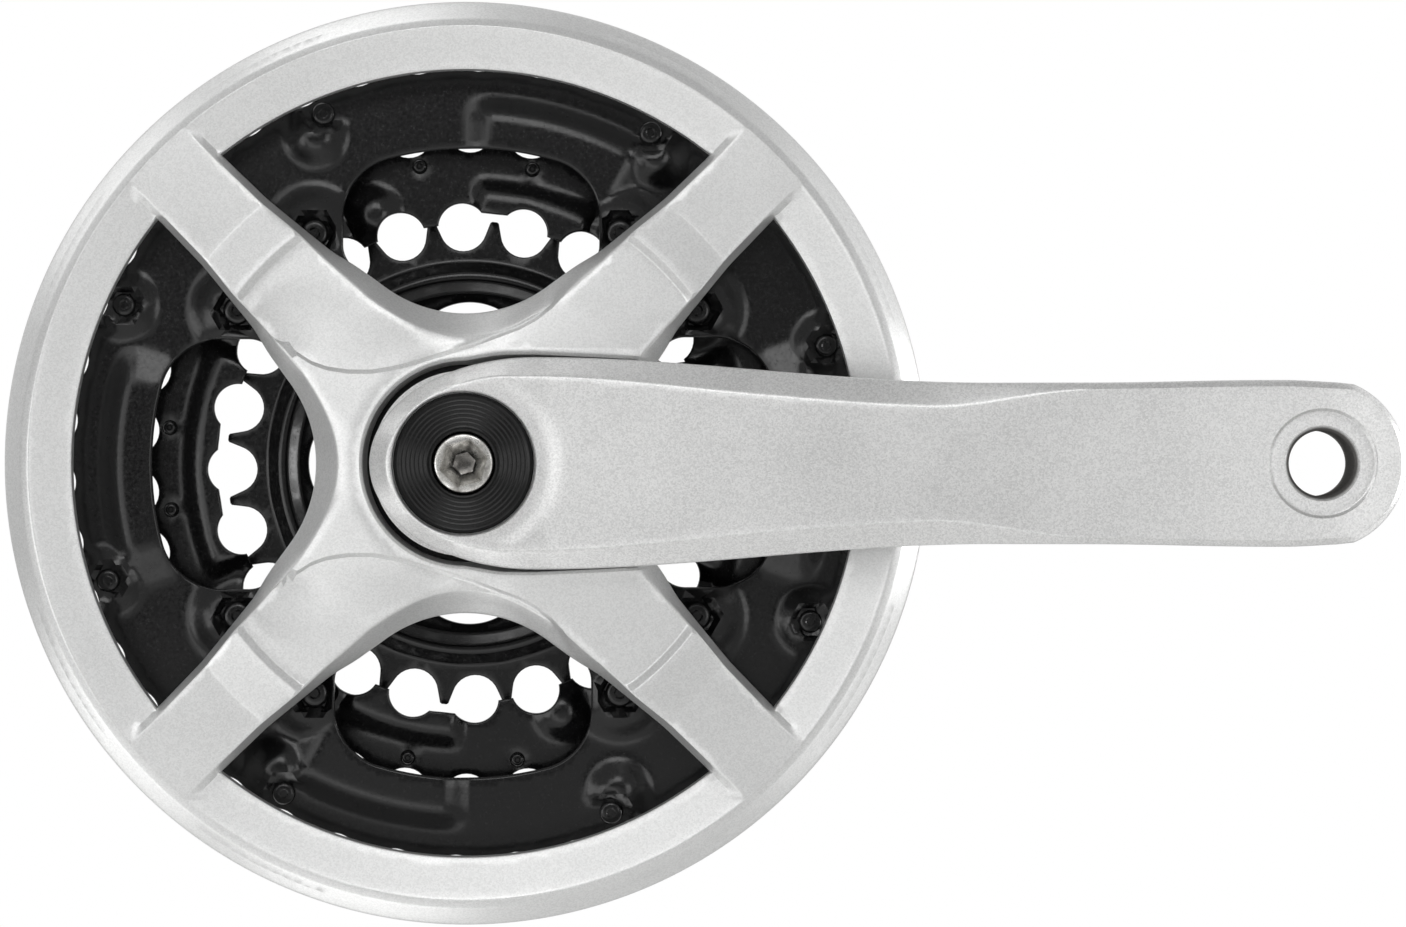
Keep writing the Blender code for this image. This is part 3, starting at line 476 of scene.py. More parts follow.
def tooth_outline(teeth, phase):
    """Sprocket outline: a round valley at the phase angle and every pitch after it, with rounded tips."""
    pitch_radius = PITCH / 2.0 / math.sin(math.pi / teeth)
    valley = pitch_radius - ROOT_DROP + VALLEY_RADIUS
    tip = pitch_radius + TIP_RISE
    lean = 180.0 / teeth - math.degrees(TIP_HALF / tip)
    across, down = TIP_ROUND
    shoulder = lean + math.degrees(across / tip)
    points = []
    for tooth in range(teeth):
        angle = phase + 360.0 / teeth * tooth
        centre = polar(valley, angle)
        points += [polar(tip, angle - shoulder), polar(tip - down, angle - lean + 0.05)]
        points += arc(VALLEY_RADIUS, angle + 180.0 + VALLEY_SPREAD, angle + 180.0 - VALLEY_SPREAD, 12, centre)
        points += [polar(tip - down, angle + lean - 0.05), polar(tip, angle + shoulder)]
    return points


# Directions of the four windows and their half widths before and after the middle.
WINDOWS = ((90.0, 27.3, 25.6), (180.0, 25.6, 26.0), (270.0, 27.3, 25.6), (0.0, 25.6, 26.0))


def window_side(half):
    """One side of a window, from its outer middle inward, as (across, out) points."""
    outer, corner_radius = 65.1, 12.4
    bend_radius, bend_out = 5.6, 45.0
    foot_across, foot_out = 6.0, 29.4
    lean = math.degrees(math.asin((half - corner_radius) / (outer - corner_radius)))
    corner = polar(outer - corner_radius, 90.0 - lean)
    right = arc(outer, 90.0, 90.0 - lean, 9)
    right += arc(corner_radius, 90.0 - lean, 0.0, 16, corner)[1:]
    right += arc(bend_radius, 0.0, -60.0, 9, (half - bend_radius, bend_out))
    across, out = right[-1]
    for i in range(1, 9):
        right.append((across + (foot_across - across) * i / 8, out + (foot_out - out) * i / 8))
    return right


def window(direction, half_before, half_after):
    """Shield-shaped window of the large ring, with the half widths before and after its middle."""
    left = [(-across, out) for across, out in reversed(window_side(half_after)[1:])]
    return [turned(point, direction - 90.0) for point in window_side(half_before) + left]


# Round embossings and dimples: radius of the flat, width of the flank and height or depth.
PIN_BOSS, PIN_DIMPLE = (3.0, 5.0, 2.0), (2.7, 1.4, 1.7)
SIDE_PIN_BOSS, SIDE_PIN_DIMPLE = (1.6, 6.0, 2.4), (2.9, 1.6, 1.6)
RIVET_BOSS, RIVET_DIMPLE = (4.3, 6.6, 2.6), (3.1, 1.7, 2.3)
MIDDLE_KNOB, MIDDLE_PIN_DIMPLE = (1.4, 5.4, 2.0), (1.7, 0.6, 0.25)
MIDDLE_KNOB_PLACE = (-19.5, 52.0)  # and again half a turn on
MIDDLE_RIVET_BOSS, MIDDLE_RIVET_DIMPLE = (4.0, 3.6, 1.3), (3.1, 1.2, 1.2)


def boss(point, centre, radius, soft, height):
    """Height of a flat-topped round embossing with a soft flank."""
    return height * smooth((radius + soft - math.dist(point, centre)) / soft)


def embossed(height, point, centre, raised, dimple, beside=None):
    """The height with a boss added round a place, or beside it, and a dimple at the place itself."""
    return max(height, boss(point, beside or centre, *raised)) - boss(point, centre, *dimple)


def pad(value, low, high, soft):
    """1 between two limits, easing to 0 over the soft width outside them."""
    return smooth((value - low + soft) / soft) * smooth((high + soft - value) / soft)


def bars(x, z, top, left, right):
    """1 on the raised bars at the top, left and right, which repeat every half turn."""
    angle = math.degrees(math.atan2(z, x)) % 180.0
    return max(pad(angle, *top), smooth((angle - left[0]) / left[1]), smooth((right[0] - angle) / right[1]))


def large_emboss(x, z):
    """Height of the pressed pattern on the large ring, outboard positive."""
    bar, step_in, step_radius = 1.7, 0.35, 80.6
    aside, inward = 2.4, 0.955
    point = (x, z)
    radius = math.hypot(x, z)
    ends = bars(x, z, (63.0, 85.5, 5.5), (159.0, 8.0), (22.0, 8.0))
    height = bar * ends * pad(radius, 40.0, 71.0, 5.6)
    for number, spot in enumerate(LARGE_PINS):
        if number in SIDE_PINS:
            beside = turned(spot, -aside if number in (1, 5) else aside)
            beside = (beside[0] * inward, beside[1] * inward)
            height = embossed(height, point, spot, SIDE_PIN_BOSS, SIDE_PIN_DIMPLE, beside)
        else:
            height = embossed(height, point, spot, PIN_BOSS, PIN_DIMPLE)
    for spot in RIVETS:
        height = embossed(height, point, spot, RIVET_BOSS, RIVET_DIMPLE)
    return height - step_in * smooth((radius - step_radius) / 1.6)


def pressed(name, lines, front, spacing, holes=()):
    """Sheet of the plate's thickness behind its front face, with round holes."""
    for places, radius in holes:
        lines += [Line(circle(radius, 20, spot), edge=True) for spot in places]
    return sheet(name, lines, front, lambda x, z: front(x, z) + PLATE, spacing)


def large_ring():
    def front(x, z):
        return -large_emboss(x, z)

    lines = rim(tooth_outline(*LARGE_TEETH), TOOTH_EDGE)
    for facts in WINDOWS:
        lines += rim(window(*facts), 0.5, hole=True)
    lines += rim(circle(17.3, 96), TOOTH_EDGE, hole=True)
    holes = ((RIVETS, RIVET_HOLE), (LARGE_PINS, PIN_HOLE), (SCREWS, SCREW_HOLE))
    made = pressed("large_ring_fine", lines, front, 1.3, holes)
    place(made, "large_chainring", BLACK_STEEL)


NOTCH_CENTRE, NOTCH = 49.3, 5.0  # radius of the circle of notches, and of a notch
FIRST_NOTCH, NOTCH_STEP, NOTCHES = 16.49, 15.0, 5
TAB_HALF, TAB_END = 9.3, 35.0
LAND, OPEN_LAND = 50.0, 52.3  # inner radius of the lands between the notches
OPEN_LANDS = (84, 264, 174, 189, 354, 9)  # directions of the lands that are cut back


def notch_turn(land):
    """Half angle of a notch's arc, where it ends on a land of this radius."""
    reach = land ** 2 - NOTCH_CENTRE ** 2 - NOTCH ** 2
    return math.degrees(math.acos(reach / (2.0 * NOTCH_CENTRE * NOTCH)))


def tab_turn(lean):
    """Half angle of a notch's arc, where it ends on the side of a tab."""
    along, across = polar(NOTCH_CENTRE, abs(lean))
    step = math.sqrt(NOTCH ** 2 - (across - TAB_HALF) ** 2)
    return math.degrees(Vector((-step, TAB_HALF - across)).angle(Vector((along, across))))


def land_radius(angle):
    is_open = any(abs(wrapped(angle - land)) < 3.0 for land in OPEN_LANDS)
    return OPEN_LAND if is_open else LAND


def middle_inner():
    """Inner edge of the middle ring: a tab at each arm and round notches between the tabs."""
    points = []
    lean = math.degrees(math.asin(TAB_HALF / TAB_END))
    half = NOTCH_STEP / 2.0
    for arm in ARMS:
        points += arc(TAB_END, arm - lean, arm + lean, 14)
        for i in range(NOTCHES):
            angle = arm + FIRST_NOTCH + NOTCH_STEP * i
            first = tab_turn(angle - arm) if i == 0 else notch_turn(land_radius(angle - half))
            is_last = i == NOTCHES - 1
            last = tab_turn(arm + 90.0 - angle) if is_last else notch_turn(land_radius(angle + half))
            points += arc(NOTCH, angle - first, angle + last, 22, polar(NOTCH_CENTRE, angle))
    return points


def middle_emboss(x, z):
    """Height of the pressed pattern on the middle ring, outboard positive."""
    bar, reach = 1.8, 60.6
    point = (x, z)
    ends = bars(x, z, (64.0, 86.5, 3.0), (153.0, 4.0), (25.0, 4.0))
    height = bar * ends * smooth((reach - math.hypot(x, z)) / 5.4)
    for knob in (MIDDLE_KNOB_PLACE, turned(MIDDLE_KNOB_PLACE, 180.0)):
        height = max(height, boss(point, knob, *MIDDLE_KNOB))
    for spot in RIVETS:
        height = embossed(height, point, spot, MIDDLE_RIVET_BOSS, MIDDLE_RIVET_DIMPLE)
    for spot in MIDDLE_PINS:
        height -= boss(point, spot, *MIDDLE_PIN_DIMPLE)
    return height


def middle_ring():
    def front(x, z):
        return MIDDLE_DEPTH - middle_emboss(x, z)

    lines = rim(tooth_outline(*MIDDLE_TEETH), TOOTH_EDGE) + rim(middle_inner(), 0.35, hole=True)
    holes = ((RIVETS, RIVET_HOLE), (TAB_RIVETS, TAB_HOLE), (MIDDLE_PINS, SMALL_PIN_HOLE))
    made = pressed("middle_ring_fine", lines, front, 1.3, holes)
    place(made, "middle_chainring", BLACK_STEEL)


BEAD = -1.9  # depth of the small ring's raised bead beside its teeth
SMALL_PROFILE = ((31.2, 1.4), (34.1, 1.4), (36.0, 1.2), (38.4, BEAD), (39.9, BEAD), (42.5, 0.0), (60.0, 0.0))
SMALL_EASE = 0.45  # rounding of that profile's corners


def small_inner():
    """Inner edge of the small ring: a round hole with a shallow scallop in each quarter."""
    hole, centre, scallop = 31.4, 21.0, 13.0
    meeting = math.acos((hole ** 2 - centre ** 2 - scallop ** 2) / (2.0 * centre * scallop))
    half = math.degrees(math.atan2(scallop * math.sin(meeting), centre + scallop * math.cos(meeting)))
    points = []
    for quarter in (0.0, 90.0, 180.0, 270.0):
        turn = math.degrees(meeting)
        points += arc(scallop, quarter - turn, quarter + turn, 24, polar(centre, quarter))
        points += arc(hole, quarter + half, quarter + 90.0 - half, 26)[1:-1]
    return points


def small_ring():
    def front(x, z):
        return SMALL_DEPTH + eased(SMALL_PROFILE, math.hypot(x, z), SMALL_EASE)

    lines = rim(tooth_outline(*SMALL_TEETH), TOOTH_EDGE) + rim(small_inner(), 0.25, hole=True, steps=2)
    for radius, _ in SMALL_PROFILE[2:6]:
        lines += [Line(circle(radius + step, 120)) for step in (-SMALL_EASE, 0.0, SMALL_EASE)]
    made = pressed("small_ring_fine", lines, front, 1.2)
    near, far, wide = SMALL_DEPTH + BEAD, SMALL_DEPTH + BEAD + PLATE, 2.4
    drill = [(0.0, near - 3.0), (TAB_HOLE, near - 3.0), (TAB_HOLE, far), (wide, far), (wide, near + 6.0)]
    for spot in TAB_RIVETS:
        carve(made, lathe("drill", drill + [(0.0, near + 6.0)], 24, spot))
    place(made, "small_chainring", BLACK_STEEL)


# ---------------------------------------------------------------- rivets, pins and screws

GAP = 0.3  # of the heads and collars from the plates
DISH_RIM, DISH_FLOOR, DISH_DEPTH = 0.42, 0.3, 0.7  # of a head's dimple, as shares of its radius and height


def dome(radius, at, height, outward, steps=4):
    """Half profile of a rounded head from its rim to the axis, ending in a shallow dimple."""
    points = []
    for i in range(1, steps + 1):
        turn = math.pi / 2.0 * i / steps
        inset = (1.0 - math.cos(turn)) * radius * 0.35
        points.append((radius - inset, at + outward * height * math.sin(turn)))
    dish = at + outward * height * DISH_DEPTH
    return points + [(radius * DISH_RIM, at + outward * height), (radius * DISH_FLOOR, dish), (0.0, dish)]


def rivet(node, plate, far, shank, head, spot):
    """Rivet through two rings whose front faces are at two depths, with a spacer between them."""
    height, spacer = 0.9, head + 0.4
    front, back, tail = plate - GAP, plate + PLATE + GAP, far + PLATE + GAP
    profile = list(reversed(dome(head, front, height, -1.0))) + [(head, front), (shank, front), (shank, back)]
    profile += [(spacer, back), (spacer, far - GAP), (shank, far - GAP), (shank, tail)]
    profile += [(head, tail)] + dome(head, tail, height, 1.0)
    place(lathe(node + "_fine", profile, 32, spot), node, BLACK_STEEL)


def pin(node, plate, shank, head, reach, spot):
    """Shift pin through one ring, with a round head in front and a stud behind."""
    height = 0.8
    front, back = plate - GAP, plate + PLATE + GAP
    end = back + reach
    profile = list(reversed(dome(head, front, height, -1.0))) + [(head, front), (shank, front), (shank, back)]
    profile += [(head, back), (head, end - 0.4), (head - 0.15, end - 0.12), (head * 0.8, end), (0.0, end)]
    place(lathe(node + "_fine", profile, 32, spot), node, BLACK_STEEL)


def screw(node, spot):
    """Screw that holds the guard from behind the large ring, with a hole in its head."""
    under, hole, shank = PLATE + GAP, 1.3, 1.6
    profile = [(0.0, under + 1.1), (hole, under + 1.1), (hole, under + 2.0), (2.2, under + 2.0)]
    profile += [(2.9, under + 1.7), (3.3, under + 1.2), (3.4, under + 0.6), (3.4, under)]
    profile += [(shank, under), (shank, -6.4), (0.0, -7.2)]
    place(lathe(node + "_fine", profile, 32, spot), node, PLATED_STEEL)


def fasteners():
    for number, spot in enumerate(RIVETS, 1):
        rivet(f"ring_rivet_{number}", 0.0, MIDDLE_DEPTH, 2.0, 3.0, spot)
    for number, spot in enumerate(TAB_RIVETS, 1):
        rivet(f"tab_rivet_{number}", MIDDLE_DEPTH, SMALL_DEPTH + BEAD, 1.3, 2.1, spot)
    for number, spot in enumerate(LARGE_PINS, 1):
        pin(f"large_shift_pin_{number}", 0.0, 1.5, 2.4, 2.2, spot)
    for number, spot in enumerate(MIDDLE_PINS, 1):
        pin(f"middle_shift_pin_{number}", MIDDLE_DEPTH, 0.8, 1.4, 1.8, spot)
    for number, spot in enumerate(SCREWS, 1):
        screw(f"guard_screw_{number}", spot)


# ---------------------------------------------------------------- bolt, washer and cap

def threads(start, stop, crest, root):
    """Profile of a thread's turns, 1 mm apart, from one depth to another."""
    points = []
    while start < stop:
        points += [(crest, start), (root, start + 0.5)]
        start += 1.0
    return points


def cap():
    """Black cap round the bolt's head, with fine turned grooves in its face."""
    face, groove, pitch = -27.42, 0.13, 0.86
    points = [(6.4, -27.1), (6.6, -27.35), (6.9, face)]
    radius = 7.3
    while radius < 12.7:
        points += [(radius, face), (radius + 0.36, face + groove), (radius + 0.72, face)]
        radius += pitch
    points += [(13.4, -27.5), (13.75, -27.46), (13.95, -27.3), (14.05, -27.0)]
    points += [(14.05, -24.35), (10.6, -24.35), (10.6, -18.2), (7.1, -18.2), (6.4, -19.5)]
    place(lathe("bolt_cap_fine", points, 128), "bolt_cap", BLACK_PLASTIC)


def bolt():
    """Bolt with a hexagon socket, a flange and a threaded shank, and the washer under its flange."""
    head, socket_half, key_turn = -26.8, 4.0, -15.0
    points = [(0.0, head), (5.5, head), (5.75, head + 0.07), (5.95, head + 0.22), (6.1, head + 0.5)]
    points += [(6.1, -18.0), (6.3, -17.7), (6.7, -17.6), (8.3, -17.6), (8.5, -17.4), (8.5, -16.1)]
    points += [(4.0, -16.1)] + threads(-15.6, 4.5, 4.0, 3.55) + [(3.0, 6.0), (0.0, 6.0)]
    made = lathe("crank_bolt_fine", points, 96)
    corner = socket_half / math.cos(math.radians(30.0))
    points = [(0.0, head - 2.0), (corner + 0.5, head - 2.0), (corner + 0.5, head - 0.1), (corner, head + 0.4)]
    points += [(corner, head + 1.4), (2.4, head + 3.9), (2.3, head + 6.8), (0.0, head + 7.4)]
    key = lathe("key", points, 6)
    key.rotation_euler = (0.0, math.radians(key_turn), 0.0)
    carve(made, key)
    place(made, "crank_bolt", PLATED_STEEL, "bolt")
    points = [(9.0, -15.6), (9.0, -14.5), (8.8, -14.3), (4.35, -14.3), (4.35, -15.8), (8.8, -15.8)]
    place(lathe("bolt_washer_fine", points, 96), "bolt_washer", PLATED_STEEL, "bolt")


# ---------------------------------------------------------------- chain guard

GUARD_OUTER, GUARD_INNER, GUARD_CREST = 94.4, 80.2, 88.8
RING_DEPTHS = ((80.2, -12.6), (88.4, -14.4), (88.8, -14.6), (89.2, -14.4), (90.5, -13.6), (94.4, -9.0))
FACE_DEPTHS = ((24.0, -19.0), (30.0, -18.2), (39.3, -16.9), (55.8, -15.8),
               (57.4, -17.0), (66.7, -14.5), (95.0, -14.5))
FACE_EASE = 0.22  # rounding of the folds across the arms
EDGE_WIDTHS = ((40.4, 13.64), (45.8, 12.7), (51.2, 11.2), (58.3, 10.4), (67.4, 9.45), (88.8, 9.05))
FACE_WIDTHS = ((39.3, 10.03), (50.8, 9.25), (58.1, 9.05), (67.2, 8.1), (88.8, 7.7))
HUB_CENTRE, HUB_EDGE, HUB_FACE, HUB_SWELL = 58.6, 28.0, 31.6, 1.3
FLANK_FOOT, RING_BACK = -10.4, -9.0  # depth at the foot of every flank, and of the guard's back
LEDGE = 1.6  # width over which the outer ring rises from that foot
RECESS_FLOOR, RECESS_RADIUS, BORE_RADIUS = -13.2, 20.6, 20.2
RECESS_SIDES = ((0.0, RECESS_RADIUS), (7.0, 21.8), (14.0, 21.9), (22.0, 21.55), (30.0, 21.2),
                (38.0, 20.75), (60.0, 19.8))
HUB_CREASE = [(-34.0, 21.8), (-31.0, 19.9), (-28.0, 18.8), (-23.6, 18.1), (-18.5, 18.1),
              (-14.3, 18.8), (-10.0, 19.9), (-5.9, 21.2), (1.6, 23.4), (7.1, 25.5),
              (11.0, 26.9), (14.6, 28.9), (17.6, 31.2), (20.2, 34.0), (22.4, 37.5)]
HUB_SIDE = HUB_CREASE + [(23.0, 60.0), (-60.0, 60.0), (-60.0, 40.0)]
ARM_LEAN = math.degrees(math.asin(between(EDGE_WIDTHS, GUARD_INNER) / GUARD_INNER))
ARM_MARGIN = 1.8  # the angle from an arm's edge to the thin back between the arms
RIM_START, RIM_BACK, THIN_START, THIN_BACK, POST_RADIUS = 92.3, -7.0, 82.3, -11.0, 4.7


def arm_place(x, z):
    """Distance from the axis, and the distance and angle from the middle of the nearest guard arm."""
    radius = math.hypot(x, z)
    lean = wrapped(math.degrees(math.atan2(z, x)) - 45.0)
    lean -= 90.0 * round(lean / 90.0)
    return radius, abs(radius * math.sin(math.radians(lean))), abs(lean)


def hub_radius(hub, turn):
    """Radius of a hub arc at an angle from its middle. The face's arc swells towards the axis."""
    return hub + (HUB_SWELL * (1.0 - smooth(turn / 34.0)) if hub == HUB_FACE else 0.0)


def side_share(x, z):
    """0 on the face of the guard's arms and hub, 1 at their edge, and a straight flank between."""
    radius, across, lean = arm_place(x, z)
    narrow, wide = eased(FACE_WIDTHS, radius, 1.0), eased(EDGE_WIDTHS, radius, 1.0)
    on_arm = (across - narrow) / (wide - narrow)
    from_middle = math.radians(45.0 - lean)
    along, out = radius * math.cos(from_middle), radius * math.sin(from_middle)
    to_hub = math.dist((along, out), (HUB_CENTRE, 0.0))
    hub_face = hub_radius(HUB_FACE, math.degrees(math.atan2(out, HUB_CENTRE - along)))
    on_hub = (hub_face - to_hub) / (hub_face - HUB_EDGE)
    blend = smooth((radius - 38.8) / 2.2)
    return on_hub + (on_arm - on_hub) * blend


def recess_reach(x, z):
    """Distance outside the rim of the clearance for the crank arm, negative within it."""
    if x <= 0.0:
        return math.hypot(x, z) - RECESS_RADIUS
    return abs(z) - eased(RECESS_SIDES, x, 1.0)


def rounded(share, width):
    """A ramp from 0 to 1 with both of its corners rounded."""
    return (clamp(share - width) + 2.0 * clamp(share) + clamp(share + width)) / 4.0


def to_segment(point, a, b):
    """Distance of a point from a straight segment."""
    ax, az, bx, bz = *a, *b
    share = ((point[0] - ax) * (bx - ax) + (point[1] - az) * (bz - az)) / ((bx - ax) ** 2 + (bz - az) ** 2)
    share = clamp(share)
    return math.dist(point, (ax + (bx - ax) * share, az + (bz - az) * share))


def point_inside(point, outline):
    """Even-odd test of one point against a closed outline."""
    odd = False
    for (ax, az), (bx, bz) in zip(outline, outline[1:] + outline[:1]):
        if (az > point[1]) != (bz > point[1]) and point[0] < ax + (bx - ax) * (point[1] - az) / (bz - az):
            odd = not odd
    return odd


def hub_dip(x, z):
    """How far the two left arms sink where they run into the collar round the recess."""
    if math.hypot(x, z) > 52.0 or not point_inside((x, abs(z)), HUB_SIDE):
        return 0.0
    gap = min(to_segment((x, abs(z)), a, b) for a, b in zip(HUB_CREASE, HUB_CREASE[1:]))
    dip, step, fade = 1.2, 0.9, 15.0
    return dip * smooth(gap / step) * (1.0 - smooth((gap - step) / fade))


def guard_face(x, z):
    """Depth of the face of the guard's arms and hub. The hub sinks a little between the arms."""
    radius, _, lean = arm_place(x, z)
    face = eased(FACE_DEPTHS, radius, FACE_EASE)
    saddle = smooth((lean - 16.0 - (40.0 - radius) * 0.55) / 11.0) * smooth((44.0 - radius) / 12.0)
    return face + 0.6 * saddle * smooth((radius - 20.5) / 9.0) + hub_dip(x, z)


def guard_front(x, z):
    """Front of the guard: faces and flanks, with the clearance for the crank arm sunk into the hub."""
    radius = math.hypot(x, z)
    share = rounded(side_share(x, z), 0.14)
    face = guard_face(x, z)
    if radius >= GUARD_INNER - LEDGE:
        ring = eased(RING_DEPTHS, radius, 0.18)
        ring = FLANK_FOOT + (ring - FLANK_FOOT) * smooth((radius - GUARD_INNER + LEDGE) / LEDGE)
        depth = ring if radius > GUARD_CREST else face + (ring - face) * share
    else:
        depth = face + (FLANK_FOOT - face) * share
    reach = recess_reach(x, z)
    if reach < 1.0 and radius < 60.0 and depth < RECESS_FLOOR:
        wall = rounded((0.1 - reach) / 0.75, 0.25)
        lip = 0.15 * smooth(1.0 - abs(reach - 0.75) / 0.3)
        depth += (RECESS_FLOOR - depth) * wall - lip
    return depth


def guard_back(x, z):
    """Back of the guard: a rim, a post at each screw and a thin ring between the arms."""
    radius, _, lean = arm_place(x, z)
    if radius > RIM_START:
        return RIM_BACK
    if min(math.dist((x, z), screw) for screw in SCREWS) < POST_RADIUS:
        return -GAP
    if lean > ARM_LEAN + ARM_MARGIN and radius >= THIN_START:
        return THIN_BACK
    return RING_BACK


def arm_point(radius, across, arm, side):
    return turned((math.sqrt(radius ** 2 - across ** 2), side * across), arm)


def guard_side(widths, hub, arm, side, last, extra):
    """One side of a hollow: half its hub arc, then out along the arm. The extra widens the hollow."""
    middle, step = arm + side * 45.0, 1.6
    centre = polar(HUB_CENTRE, middle)
    first = widths[0][0]
    cosine = (HUB_CENTRE ** 2 + hub ** 2 - first ** 2) / (2.0 * HUB_CENTRE * hub)
    end = math.degrees(math.acos(cosine))
    points = []
    for i in range(21):
        turn = end * i / 20
        points.append(polar(hub_radius(hub, turn) + extra, middle + 180.0 + side * turn, centre))
    radius = first + step
    while radius < last:
        points.append(arm_point(radius, eased(widths, radius, 1.0) - extra, arm, side))
        radius += step
    points.append(arm_point(last, eased(widths, last, 1.0) - extra, arm, side))
    return points


def hollow_lines(arm):
    """Lines of the hollow after an arm: its edge, its rounded rim and the creases of its flank."""
    edge = list(reversed(guard_side(EDGE_WIDTHS, HUB_EDGE, arm, 1, GUARD_INNER, 0.0)))
    edge += guard_side(EDGE_WIDTHS, HUB_EDGE, arm + 90.0, -1, GUARD_INNER, 0.0)[1:]
    inner = arc(GUARD_INNER, arm + 90.0 - ARM_LEAN, arm + ARM_LEAN, 48)
    lines = rim(edge[:-1] + inner[:-1], 0.35, hole=True, steps=2)
    for extra in (-0.25, 0.0, 0.3):
        crease = list(reversed(guard_side(FACE_WIDTHS, HUB_FACE, arm, 1, GUARD_CREST, extra)))
        crease += guard_side(FACE_WIDTHS, HUB_FACE, arm + 90.0, -1, GUARD_CREST, extra)[1:]
        lines.append(Line(crease, closed=False))
    start = GUARD_INNER + 1.0
    for side, base in ((1, arm), (-1, arm + 90.0)):
        rise = [arm_point(start + (GUARD_CREST - start) * i / 7, between(EDGE_WIDTHS, start), base, side)
                for i in range(8)]
        lines.append(Line(rise, closed=False))
    turn = ARM_LEAN + ARM_MARGIN
    for radius in (THIN_START - 0.1, THIN_START + 0.1, RIM_START - 0.1):
        lines.append(Line(arc(radius, arm + turn, arm + 90.0 - turn, 48), closed=False))
    return lines


def recess_line(reach):
    """Line round the clearance for the crank arm, at a distance outside its rim."""
    left = arc(RECESS_RADIUS + reach, 90.0, 270.0, 56)
    right = [(x, eased(RECESS_SIDES, x, 1.0) + reach) for x in (*range(2, 14, 2), *range(14, 39, 3))]
    return list(reversed(right)) + left + [(x, -z) for x, z in right]


def guard():
    lines = rim(circle(GUARD_OUTER, 300), 0.5)
    for radius in (92.4, 92.2, 90.8, 90.5, 90.2, 89.4, 89.2, 89.0, 88.8, 88.6, 88.4, 88.2):
        lines.append(Line(circle(radius, 240)))
    lines.append(Line(circle(BORE_RADIUS, 120), edge=True))
    for arm, spot in zip(ARMS, SCREWS):
        lines += hollow_lines(arm)
        folds = [fold + step for fold, _ in FACE_DEPTHS[3:6] for step in (-FACE_EASE, 0.0, FACE_EASE)]
        for radius in folds:
            half = math.degrees(math.asin((between(FACE_WIDTHS, radius) - 0.7) / radius))
            lines.append(Line(arc(radius, arm - half, arm + half, 10), closed=False))
        lines += [Line(circle(POST_RADIUS + step, 24, spot)) for step in (-0.1, 0.1)]
        lines.append(Line(circle(SCREW_HOLE, 20, spot)))
    lines += [Line(recess_line(reach), closed=False) for reach in (1.05, 0.75, 0.45, 0.1, -0.25, -0.65, -1.0)]
    for shift in (0.0, -0.45, -0.9):
        crease = [(x + shift * 0.25, z - shift) for x, z in HUB_CREASE[:14]]
        lines += [Line([(x, side * z) for x, z in crease], closed=False) for side in (1, -1)]
    made = sheet("chain_guard_fine", lines, guard_front, guard_back, 1.25)
    drill = [(0.0, 1.0), (SCREW_HOLE, 1.0), (SCREW_HOLE, -8.4), (0.0, -8.4)]
    for spot in SCREWS:
        carve(made, lathe("drill", drill, 24, spot))
    place(made, "chain_guard", SILVER_PLASTIC)


# ---------------------------------------------------------------- crank arm

BOSS_DEPTH, EYE_DEPTH, BACK_DEPTH, EYE_BACK = -28.0, -36.6, -15.0, -24.6
BOSS_END, FACE_END = (14.2, 33.2, 21.3), (9.0, 24.4, 17.4)
EYE, EYE_RADIUS, EYE_EDGE = (ARM_LENGTH, 0.0), 16.9, 1.2
SEAT_RADIUS, SEAT_DEPTH = 10.9, EYE_DEPTH + 0.8  # sunk flat round the pedal hole
FLAT_RADIUS = 16.2  # flat ring round the cap
SWELL, TIP_DROP = 0.45, 0.9  # outward near the hub, and back at the eye's end
SOCKET_SMALL, SOCKET_LARGE = 6.2, 6.95  # half sides of the tapered square, 22 mm apart


def half_width(x):
    """Half height of the arm along its length: it narrows to the middle and swells before the eye."""
    shoulder = 0.5 * smooth((x - 125.0) / 35.0) - 0.55 * smooth((x - 163.0) / 13.0)
    return 21.3 - 5.3 * smooth((x - 14.0) / 91.0) + shoulder


def bevel_width(x):
    return 3.8 + 1.1 * smooth((x - 9.0) / 50.0) - 3.6 * smooth((x - 92.0) / 33.0)


def bevel_drop(x):
    return 4.0 - 2.9 * smooth((x - 70.0) / 50.0)


def arm_outline(end, inset, eye):
    """Outline of the arm or of its face, from the ellipse at its end to the round of the eye."""
    centre, length, width = end
    points = []
    for i in range(61):
        turn = math.radians(90.0 + 3.0 * i)
        points.append((centre + length * math.cos(turn), width * math.sin(turn)))
    stations = [(x, half_width(x) - inset(x)) for x in range(17, 176, 3)]
    points += [(x, -half) for x, half in stations]
    points += arc(eye, -68.0, 68.0, 50, (ARM_LENGTH, 0.0))
    return points + [(x, half) for x, half in reversed(stations)]


class Contour:
    """Dense samples of a closed outline, to measure distances from it."""

    def __init__(self, points):
        self.points = points
        step = 0.2
        samples = []
        for a, b in zip(points, points[1:] + points[:1]):
            samples += steps_along(a, b, step)
        self.tree = tree_of(samples)

    def distance(self, x, z):
        return self.tree.find((x, z, 0.0))[2]

    def holds(self, x, z):
        return point_inside((x, z), self.points)


